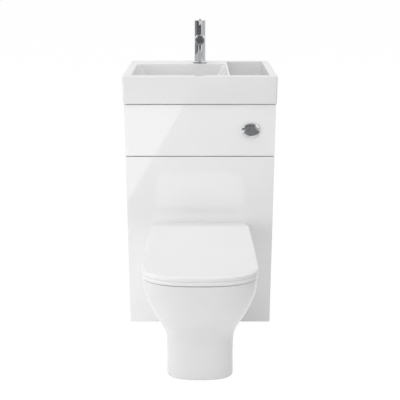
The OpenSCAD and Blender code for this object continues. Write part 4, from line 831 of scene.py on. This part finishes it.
def mirrored_blocks(inner, outer, front, back, low, high):
    """Two temporary boxes, one on each side of the middle, between two distances from it."""
    spans = [sorted((side * inner, side * outer)) for side in SIDES]
    return [block((x0, front, low), (x1, back, high)) for x0, x1 in spans]


print("lid", round(2 * lid_half, 3), "m wide")

# %% [markdown]
# The seat is a ring. Its outer edge is nearly upright with small rounded corners, and its inner
# edge rolls over softly, because people sit on it. The two edges are profiles of (height, step
# in or out): one lofts the plate and the other the opening that is cut from it.

# %% Shape the seat
SEAT_BAND, SEAT_FRONT, SEAT_BACK_BAND, SEAT_INNER_X = 0.062, 0.060, 0.058, 0.0526
SEAT_THICK, SEAT_GAP, ARM_UP, ARM_DOWN, OPENING_SQUARENESS = 0.013, 0.003, 0.002, 0.0005, 2.3
SEAT_PROFILE = [(0, 0.0012), (0.0004, 0.0005), (0.0012, 0), (0.0116, 0), (0.0123, 0.0002),
                (0.0128, 0.0007), (0.0130, 0.0014)]
OPENING_PROFILE = [(-OVER, 0.0015), (0.0006, 0.0006), (0.002, 0), (0.0075, 0), (0.0098, 0.0006),
                   (0.0116, 0.0022), (0.0127, 0.0050), (0.0130, 0.0085), (0.0130 + OVER, 0.0105)]
seat_bottom = pan_high.z + SEAT_GAP
seat_top = seat_bottom + SEAT_THICK
opening_front, opening_back = lid_front + SEAT_FRONT, seat_back - SEAT_BACK_BAND
opening_half = lid_half - SEAT_BAND
centre_y, half_y = (opening_front + opening_back) / 2, (opening_back - opening_front) / 2
seat = to_object(loft([
    cover_outline(seat_back, seat_bottom + up, cut) for up, cut in SEAT_PROFILE]), "seat")
seat_hole = to_object(loft([
    oval(opening_half + grow, half_y + grow, centre_y, seat_bottom + up, OPENING_SQUARENESS)
    for up, grow in OPENING_PROFILE]), "hole")
arms = mirrored_blocks(SEAT_INNER_X, SEAT_INNER_X + KNUCKLE_LENGTH, seat_back - OVER, hinge_y,
                       seat_bottom + ARM_UP, seat_top - ARM_DOWN)
combine(seat, "DIFFERENCE", [seat_hole])
combine(seat, "UNION", arms + barrels(SEAT_INNER_X))
combine(seat, "DIFFERENCE", pin_bores())
piece(tidied(seat), "seat_moulding", "seat_ring")

# %% [markdown]
# The lid is a shallow tray, upside down: a lofted plate with a wide round on its top edge, and a
# hollow cut from below. Its ears carry the barrels, and two notches clear those of the seat.

# %% Shape the lid
LID_THICK, LID_SHEET, LID_RIM, LID_INNER_X = 0.0125, 0.004, 0.006, 0.0884
EAR_HALF, EAR_SINK, NOTCH_X, NOTCH_GAP = 0.005, 0.001, 0.0506, 0.001
LID_PROFILE = [(0, 0.0006), (0.0003, 0.0002), (0.0008, 0), (0.0090, 0), (0.0102, 0.0003), (0.0112, 0.0009),
               (0.0119, 0.0018), (0.0124, 0.0030), (0.0125, 0.0045)]
lid_bottom = lid_high.z - LID_THICK
under = lid_high.z - LID_SHEET
HOLLOW_PROFILE = [(lid_bottom - OVER, 0), (under - 0.002, 0), (under - 0.0006, 0.0006), (under, 0.002)]
lid = to_object(loft([cover_outline(lid_back, lid_bottom + up, cut) for up, cut in LID_PROFILE]), "lid")
hollow = to_object(loft([cover_outline(lid_back, z, LID_RIM + cut) for z, cut in HOLLOW_PROFILE]), "hollow")
combine(lid, "DIFFERENCE", [hollow])
ears = mirrored_blocks(LID_INNER_X, LID_INNER_X + KNUCKLE_LENGTH, hinge_y - EAR_HALF, hinge_y + EAR_HALF,
                       hinge_z, under + EAR_SINK)
combine(lid, "UNION", ears + barrels(LID_INNER_X))
notches = mirrored_blocks(NOTCH_X, LID_INNER_X, hinge_y - KNUCKLE - NOTCH_GAP, lid_back + OVER,
                          lid_bottom - OVER, under)
combine(lid, "DIFFERENCE", pin_bores() + notches)
piece(tidied(lid), "lid_moulding", "lid")

# %% [markdown]
# ## Tap and waste
# Everything round on the tap is turned on a lathe in real life, and here too: `turned` spins a
# profile of (radius, height) points through a full circle. The ends of the profile lie on the
# axis, so merging doubles closes the solid there, and its normals are recalculated last.

# %% Spin a profile
EDGE_STEPS = 4


def turned(profile, centre, direction=UP, steps=96):
    """A closed bmesh spun from (radius, distance) points, standing at centre along direction."""
    bm = bmesh.new()
    chain = [bm.verts.new((radius, 0, up)) for radius, up in profile]
    edges = [bm.edges.new(pair) for pair in zip(chain, chain[1:])]
    bmesh.ops.spin(bm, geom=chain + edges, axis=UP, cent=(0, 0, 0), angle=2 * math.pi,
                   steps=steps, use_merge=True)
    bmesh.ops.remove_doubles(bm, verts=bm.verts, dist=1e-6)
    lay(bm, centre, direction)
    bmesh.ops.recalc_face_normals(bm, faces=bm.faces)
    return bm


def edge_arc(radius, height, size):
    """Profile points of a rounded outer edge, from the wall in to the flat end."""
    angles = [math.radians(90 * i / EDGE_STEPS) for i in range(EDGE_STEPS + 1)]
    return [(radius - size + size * math.cos(angle), height - size + size * math.sin(angle))
            for angle in angles]


print("lathe ready")

# %% [markdown]
# The tap's body is an upright cylinder with a bore for the cartridge. The spout is a second
# turned shape laid on its side, with a fine step on its end face and a hole for the aerator
# below its tip. A stepped ring covers the joint between body and basin.

# %% Turn the tap
TAP_R, BODY_H, SPOUT_R, SPOUT_Z, SPOUT_REACH = 0.021, 0.111, 0.017, 0.091, 0.108
BODY_EDGE, SPOUT_EDGE, FACE_STEP, FACE_R, FACE_INNER_R = 0.0006, 0.0016, 0.0005, 0.0125, 0.0118
CARTRIDGE_R, CARTRIDGE_DEPTH, CARTRIDGE_DRILL = 0.01705, 0.0395, 0.05
AERATOR_R, AERATOR_REACH, AERATOR_DEPTH = 0.01005, 0.090, 0.019
BASE_RING = [(0.0213, 0), (0.0265, 0), (0.0265, 0.0022), (0.0262, 0.0030), (0.0252, 0.0042),
             (0.0238, 0.0049), (0.0225, 0.0050), (0.0213, 0.0050), (0.0213, 0)]
tap_foot = tap_low.z
bore_floor = BODY_H - CARTRIDGE_DEPTH
spout_face = SPOUT_REACH - FACE_STEP
tap_body = to_object(turned(
    [(0, 0), (TAP_R, 0)] + edge_arc(TAP_R, BODY_H, BODY_EDGE)
    + [(CARTRIDGE_R, BODY_H), (CARTRIDGE_R, bore_floor), (0, bore_floor)],
    (0, tap.y, tap_foot)), "tap")
spout = to_object(turned(
    [(0, 0), (SPOUT_R, 0)] + edge_arc(SPOUT_R, spout_face, SPOUT_EDGE)
    + [(FACE_R, spout_face), (FACE_INNER_R, SPOUT_REACH), (0, SPOUT_REACH)],
    (0, tap.y, tap_foot + SPOUT_Z), FORWARD), "spout")
aerator_foot = (0, tap.y - AERATOR_REACH, tap_foot + SPOUT_Z - SPOUT_R - OVER)
combine(tap_body, "UNION", [spout])
combine(tap_body, "DIFFERENCE", [
    rod((0, tap.y, tap_foot + bore_floor), UP, CARTRIDGE_R, CARTRIDGE_DRILL),
    rod(aerator_foot, UP, AERATOR_R, AERATOR_DEPTH)])
piece(tidied(tap_body), "tap_casting", "tap_body")
piece(turned(BASE_RING, (0, tap.y, tap_foot)), "base_ring", "tap_base_ring")

# %% [markdown]
# The handle is a turned cap with a slot in its front for the pin lever. Turning the cap mixes
# hot and cold, and lifting the lever opens the flow, so they are two pieces. The slot is cut
# from the cap's top down to just below the lever, and two small bores take spot and pivot pin.

# %% Turn the handle's cap
CAP_H, CAP_WALL, CAP_EDGE, LEVER_UP, LEVER_R, LEVER_RISE = 0.040, 0.0028, 0.0012, 0.0116, 0.004, 31
SPOT_IN, SPOT_BORE, SPOT_DEPTH, PIVOT_BORE, PIVOT_BORE_HALF = 0.001, 0.00255, 0.003, 0.00205, 0.02
PIN_SIDES = 32
SLOT_GAP, SLOT_DROP = 0.0005, 0.001
cap_foot = Vector((0, tap.y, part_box("tap_handle")[0].z))
pivot = cap_foot + Vector((0, 0, LEVER_UP))
slope = math.radians(LEVER_RISE)
cap_inner = TAP_R - CAP_WALL
cap = to_object(turned(
    [(0, CAP_H - CAP_WALL), (cap_inner, CAP_H - CAP_WALL), (cap_inner, 0), (TAP_R, 0)]
    + edge_arc(TAP_R, CAP_H, CAP_EDGE) + [(0, CAP_H)], cap_foot), "cap")
slot_foot = cap_inner * math.tan(slope) - LEVER_R / math.cos(slope) - SLOT_DROP
slot = block((-LEVER_R - SLOT_GAP, tap.y - TAP_R - OVER, pivot.z + slot_foot),
             (LEVER_R + SLOT_GAP, tap.y, cap_foot.z + CAP_H + OVER))
spot_place = (0, tap.y - TAP_R + SPOT_IN, pivot.z)
spot_hole = rod(spot_place, FORWARD, SPOT_BORE, SPOT_DEPTH, PIN_SIDES)
pin_hole = rod((-PIVOT_BORE_HALF, tap.y, pivot.z), SIDEWAYS, PIVOT_BORE, 2 * PIVOT_BORE_HALF, PIN_SIDES)
combine(cap, "DIFFERENCE", [slot, spot_hole, pin_hole])
piece(tidied(cap), "handle_cap", "tap_handle")

# %% [markdown]
# The lever is a slim turned pin with a rounded tip, joined to the ball and cross pin it turns
# on inside the cap. The red and blue spot is a small turned button below the slot.

# %% Lever and indicator
LEVER_LENGTH, LEVER_NECK, NECK_LENGTH, TAPER_LENGTH = 0.0658, 0.94, 0.004, 0.012
TIP_LENGTH, TIP_EDGE, LEVER_SIDES = 0.0015, 0.0012, 48
BALL_R, PIVOT_R, PIVOT_HALF = 0.007, 0.002, 0.0197
SPOT_BUTTON = [(0, 0), (0.0024, 0), (0.0024, 0.0008), (0.0021, 0.0011), (0.0012, 0.0012), (0, 0.0012)]
lever = to_object(turned(
    [(0, 0), (LEVER_R * LEVER_NECK, NECK_LENGTH), (LEVER_R, TAPER_LENGTH),
     (LEVER_R, LEVER_LENGTH - TIP_LENGTH)] + edge_arc(LEVER_R, LEVER_LENGTH, TIP_EDGE)
    + [(0, LEVER_LENGTH)], pivot, (0, -math.cos(slope), math.sin(slope)), LEVER_SIDES), "lever")
ball = bmesh.new()
bmesh.ops.create_uvsphere(ball, u_segments=40, v_segments=20, radius=BALL_R)
bmesh.ops.translate(ball, vec=pivot, verts=ball.verts)
pin = rod(pivot - Vector((PIVOT_HALF, 0, 0)), SIDEWAYS, PIVOT_R, 2 * PIVOT_HALF, PIN_SIDES)
combine(lever, "UNION", [to_object(ball, "ball"), pin])
piece(tidied(lever), "pin_lever", "tap_lever")
piece(turned(SPOT_BUTTON, spot_place, FORWARD, PIN_SIDES), "indicator_dot", "tap_indicator")

# %% [markdown]
# The waste in the bowl is a chrome flange with a click plug. The plug's cap is slightly domed,
# so a line of light runs round it, and it stands a hair above the flange that it seals against.
# The plug is turned in one profile with its stem, and the flange keeps its CAD shape.

# %% Plug cap and flange
CAP_THICK, STEM_R, COLLAR_R, COLLAR_H = 0.004, 0.005, 0.0075, 0.002
DOME = [(0.0285, 0), (0.029, 0.0006), (0.0289, 0.0016), (0.0280, 0.0026), (0.0255, 0.0033),
        (0.020, 0.0037), (0.010, 0.0039), (0, CAP_THICK)]
plug_low, plug_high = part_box("waste_plug")
cap_z = plug_high.z - CAP_THICK
stem_end = plug_low.z - cap_z
stem = [(0, stem_end), (COLLAR_R, stem_end), (COLLAR_R, stem_end + COLLAR_H),
        (STEM_R, stem_end + COLLAR_H), (STEM_R, 0)]
piece(turned(stem + DOME, (waste.x, waste.y, cap_z)), "plug_cap", "waste_plug")
piece(merged("basin_waste"), "waste_fitting", "basin_waste", MOULDED_EDGE)

# %% [markdown]
# ## Flush button
# The button is an oval chrome bezel round two pads. The bezel's face is a soft dome: rings of
# ovals step outwards and shrink, and a lofted mouth with a rounded lip is cut through it. Behind,
# a wider and shallow cut makes room for the sleeve.

# %% Shape the bezel
OVAL_PAD_W, OVAL_PAD_H, SLEEVE_W, SLEEVE_H, SLEEVE_DEPTH = 0.022, 0.018, 0.0253, 0.0213, 0.0023
FACE_STEPS = 96
BEZEL_SHOULDER = [(0, 0.0002), (0.0015, 0), (0.0035, 0.0003), (0.0053, 0.0012), (0.0068, 0.0026),
                  (0.0079, 0.0043), (0.0086, 0.0060), (0.0090, 0.0076)]
BEZEL_MOUTH = [(-OVER, 0), (0.0078, 0), (0.0086, 0.0003), (0.0090, 0.0008), (0.0090 + OVER, 0.0022)]
bezel_low, bezel_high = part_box("button_bezel")
button = (bezel_low + bezel_high) / 2
half_w, half_h = (bezel_high.x - bezel_low.x) / 2, (bezel_high.z - bezel_low.z) / 2


def face_ovals(half_x, half_z, profile):
    """Rings of an oval on the fascia, one for each (distance out, change of size) of a profile."""
    turns = [2 * math.pi * i / FACE_STEPS for i in range(FACE_STEPS)]
    return [[(button.x + (half_x + grow) * math.cos(turn), panel_face - out,
              button.z + (half_z + grow) * math.sin(turn)) for turn in turns] for out, grow in profile]


bezel = to_object(loft(face_ovals(half_w, half_h, [(out, -cut) for out, cut in BEZEL_SHOULDER])), "bezel")
mouth = to_object(loft(face_ovals(OVAL_PAD_W, OVAL_PAD_H, BEZEL_MOUTH)), "mouth")
sleeve_room = to_object(loft(face_ovals(SLEEVE_W, SLEEVE_H, [(-OVER, 0), (SLEEVE_DEPTH, 0)])), "room")
combine(bezel, "DIFFERENCE", [mouth, sleeve_room])
piece(tidied(bezel), "button_frame", "button_bezel")

# %% [markdown]
# The two pads are one domed oval, split by an arc: the larger pad gives a full flush and the
# crescent beside it a half. The same round bar that keeps the full pad cuts the half pad away,
# with a hair's gap on both sides, and each pad gets the stem it presses with.

# %% Shape the two pads
PAD_SPLIT_R, PAD_SPLIT_X, PAD_GAP = 0.034, -0.006, 0.0004
PAD_CROWN = [(0.0062, 0.0002), (0.0066, 0), (0.0082, 0), (0.0089, 0.0004), (0.0092, 0.0011), (0.0093, 0.0024)]
PAD_STEM_R, PAD_STEM_START, FULL_STEM_X, HALF_STEM_X = 0.003, 0.0066, 0.008, -0.012
SPLIT_START, SPLIT_LENGTH, SPLIT_SIDES = 0.02, 0.03, 160

for node, stem_x in (("button_full", FULL_STEM_X), ("button_half", HALF_STEM_X)):
    is_full = node == "button_full"
    pad = to_object(loft(face_ovals(
        OVAL_PAD_W - PAD_GAP, OVAL_PAD_H - PAD_GAP, [(out, -cut) for out, cut in PAD_CROWN])), "pad")
    split = rod((button.x + PAD_SPLIT_X + PAD_SPLIT_R, panel_face - SPLIT_START, button.z), BACKWARD,
                PAD_SPLIT_R + (-PAD_GAP if is_full else PAD_GAP), SPLIT_LENGTH, SPLIT_SIDES)
    combine(pad, "INTERSECT" if is_full else "DIFFERENCE", [split])
    stem_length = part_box(node)[1].y - panel_face + PAD_STEM_START
    foot = rod((button.x + stem_x, panel_face - PAD_STEM_START, button.z), BACKWARD, PAD_STEM_R,
               stem_length, PIN_SIDES)
    combine(pad, "UNION", [foot])
    piece(tidied(pad), node.replace("button_", "pad_"), node, SMALL_EDGE)

# %% [markdown]
# ## Stage and light
# The floor and background are plain white, as in a catalogue picture. Lamps strong enough to
# make them white would burn out the unit. Instead the Light Path node tells rays from the
# camera, a mirror or glass apart from light that spreads: the first see white, and the rest see
# a matt floor and a soft sky. The floor stays partly matt for the camera too, so it keeps the
# unit's shadow.

# %% Floor and world
FLOOR_SIZE, FLOOR_GLOW, FLOOR_WHITE, FLOOR_PAINT = 30, 0.84, 1.1, 0.86
SKY_FILL, SKY_WHITE = 0.5, 1.0
WHITE = (1, 1, 1, 1)


def seen_directly(tree):
    """A socket that is 1 for camera, glossy and transmission rays, and 0 for all others."""
    path = add(tree, "ShaderNodeLightPath")
    seen = add(tree, "ShaderNodeMath", operation="MAXIMUM")
    either = add(tree, "ShaderNodeMath", operation="MAXIMUM")
    tree.links.new(path.outputs["Is Camera Ray"], seen.inputs[0])
    tree.links.new(path.outputs["Is Glossy Ray"], seen.inputs[1])
    tree.links.new(seen.outputs[0], either.inputs[0])
    tree.links.new(path.outputs["Is Transmission Ray"], either.inputs[1])
    return either.outputs[0]


def mix_by(tree, share, first, second, end_kind):
    """Mixes two shaders by a share from 0 to 1, and leads the result to a new output node."""
    mix = add(tree, "ShaderNodeMixShader")
    end = add(tree, end_kind)
    tree.links.new(share, mix.inputs["Fac"])
    tree.links.new(first.outputs[0], mix.inputs[1])
    tree.links.new(second.outputs[0], mix.inputs[2])
    tree.links.new(mix.outputs[0], end.inputs["Surface"])


bm = bmesh.new()
bmesh.ops.create_grid(bm, x_segments=1, y_segments=1, size=FLOOR_SIZE)
floor = to_object(bm, "floor")
floor_paint = bpy.data.materials.new("floor_paint")
floor_paint.use_nodes = True
tree = floor_paint.node_tree
tree.nodes.clear()
share = add(tree, "ShaderNodeMath", {1: FLOOR_GLOW}, operation="MULTIPLY")
tree.links.new(seen_directly(tree), share.inputs[0])
matt = add(tree, "ShaderNodeBsdfDiffuse", {"Color": (FLOOR_PAINT, FLOOR_PAINT, FLOOR_PAINT, 1)})
glow = add(tree, "ShaderNodeEmission", {"Color": WHITE, "Strength": FLOOR_WHITE})
mix_by(tree, share.outputs[0], matt, glow, "ShaderNodeOutputMaterial")
floor.data.materials.append(floor_paint)

world = bpy.data.worlds.new("studio")
bpy.context.scene.world = world
world.use_nodes = True
tree = world.node_tree
tree.nodes.clear()
fill = add(tree, "ShaderNodeBackground", {"Color": WHITE, "Strength": SKY_FILL})
backdrop = add(tree, "ShaderNodeBackground", {"Color": WHITE, "Strength": SKY_WHITE})
mix_by(tree, seen_directly(tree), fill, backdrop, "ShaderNodeOutputWorld")
print("floor and world ready")

# %% [markdown]
# Chrome and lacquer show whatever stands round them. In an all white room they would look like
# white paint, so a studio stands grey cards where they are seen only as reflections. These
# cards glow evenly in their own grey, are hidden from the camera, shed no light on matt faces
# and cast no shadow.

# %% A card that only reflections show
FADE_NEAR, FADE_FAR = 0.3, 1.15


def card(name, corners, tone, fade=False):
    """A flat card that only reflections show; with fade it turns white towards the unit."""
    bm = bmesh.new()
    bm.faces.new([bm.verts.new(corner) for corner in corners])
    made = to_object(bm, name)
    paint = bpy.data.materials.new(name)
    paint.use_nodes = True
    tree = paint.node_tree
    tree.nodes.clear()
    shine = add(tree, "ShaderNodeEmission", {"Color": WHITE, "Strength": tone})
    end = add(tree, "ShaderNodeOutputMaterial")
    tree.links.new(shine.outputs[0], end.inputs["Surface"])
    if fade:
        reach = add(tree, "ShaderNodeVectorMath", operation="LENGTH")
        ramp = add(tree, "ShaderNodeMapRange", {
            "From Min": FADE_NEAR, "From Max": FADE_FAR, "To Min": 1.0, "To Max": tone},
            interpolation_type="SMOOTHSTEP")
        tree.links.new(add(tree, "ShaderNodeTexCoord").outputs["Object"], reach.inputs[0])
        tree.links.new(reach.outputs["Value"], ramp.inputs["Value"])
        tree.links.new(ramp.outputs["Result"], shine.inputs["Strength"])
    made.data.materials.append(paint)
    made.visible_camera = made.visible_diffuse = made.visible_shadow = False


def upright_card(name, start, end, lows, highs, tone):
    """A card that stands over a line from start to end, with its low and high edge at each."""
    card(name, [(*start, lows[0]), (*end, lows[1]), (*end, highs[1]), (*start, highs[0])], tone)


print("card maker ready")

# %% [markdown]
# The card on the floor has a slanting edge, and this is the slanting line of light across the
# front panels. It leaves out the pan's place and fades to white near it. A dark wall stands
# behind the camera and on its left, on a lighter skirting that shows low in the chrome. A sloping
# card closes the top, and two paler walls stand left and right of the unit.

# %% Place the cards
FRONT, LEFT, RIGHT, SIDE_END, TOP_END = -4.6, -3.0, 2.6, -0.6, -0.5
WALL_LEFT, WALL_RIGHT, WALL_END = -3.2, 3.6, 2.2
FRONT_HIGH, TOP_HIGH = 3.2, 3.9
GROUND, SKIRT, SLOPING_SKIRT = (0, 0), (0.29, 0.29), (0.29, 0.48)
SIDE_TOP, FRONT_TOP = (1.7, 1.7), (FRONT_HIGH, FRONT_HIGH)
CARD_UP, EDGE_X, PAN_X, PAN_Y, CABINET_Y = 0.004, -0.8, 0.21, -0.45, 0.03
FLOOR_TONE, DARK_TONE, SKIRT_TONE, TOP_TONE, LEFT_TONE, RIGHT_TONE = 0.22, 0.12, 0.6, 0.3, 0.25, 0.55

floor_corners = [(-0.05, FRONT), (-0.39, -1.18), (EDGE_X, -0.9), (EDGE_X, CABINET_Y), (-PAN_X, CABINET_Y),
                 (-PAN_X, PAN_Y), (PAN_X, PAN_Y), (PAN_X, CABINET_Y), (RIGHT, CABINET_Y), (RIGHT, FRONT)]
card("floor_card", [(x, y, CARD_UP) for x, y in floor_corners], FLOOR_TONE, fade=True)
card("top_card", [(LEFT, FRONT, FRONT_HIGH), (RIGHT, FRONT, FRONT_HIGH),
                  (RIGHT, TOP_END, TOP_HIGH), (LEFT, TOP_END, TOP_HIGH)], TOP_TONE)
upright_card("back_card", (LEFT, FRONT), (RIGHT, FRONT), SKIRT, FRONT_TOP, DARK_TONE)
upright_card("side_card", (LEFT, FRONT), (LEFT, SIDE_END), SLOPING_SKIRT, SIDE_TOP, DARK_TONE)
upright_card("low_back_card", (LEFT, FRONT), (RIGHT, FRONT), GROUND, SKIRT, SKIRT_TONE)
upright_card("low_side_card", (LEFT, FRONT), (LEFT, SIDE_END), GROUND, SLOPING_SKIRT, SKIRT_TONE)
upright_card("left_card", (WALL_LEFT, SIDE_END), (WALL_LEFT, WALL_END), GROUND, SIDE_TOP, LEFT_TONE)
upright_card("right_card", (WALL_RIGHT, FRONT), (WALL_RIGHT, WALL_END), GROUND, SIDE_TOP, RIGHT_TONE)
print("cards ready")

# %% [markdown]
# The key lamp stands low on the left. It gives the panels their fall from left to right and
# throws the pan's soft shadow level across the panel, and a second lamp nearer the camera
# softens it. A wide lamp overhead lights the lid and the rims, and a weak one on the right opens
# the shadows. No lamp shows as a reflection, so chrome mirrors only the cards and the white room.

# %% Lamps
TARGET = Vector((0, 0, 0.45))


def lamp(name, place, size, power):
    """A square area lamp that looks at the middle of the unit."""
    data = bpy.data.lights.new(name, "AREA")
    data.size = size
    data.energy = power
    made = bpy.data.objects.new(name, data)
    made.location = place
    made.rotation_euler = (TARGET - made.location).to_track_quat("-Z", "Y").to_euler()
    made.visible_glossy = False
    bpy.context.scene.collection.objects.link(made)


lamp("key", (-2.8, -1.4, 1.0), size=1.2, power=16)
lamp("front", (-1.9, -2.9, 1.3), size=1.6, power=21)
lamp("overhead", (-0.3, -0.8, 3.3), size=2.4, power=38)
lamp("fill", (2.8, -0.9, 1.4), size=1.8, power=7)
print("lamps ready")

# %% [markdown]
# The picture is shown as it is, without a film look, and the unit's two boxes are written down
# to compare the finished model's size with the CAD model's.

# %% Finish of the picture
bpy.context.scene.view_settings.view_transform = "Standard"
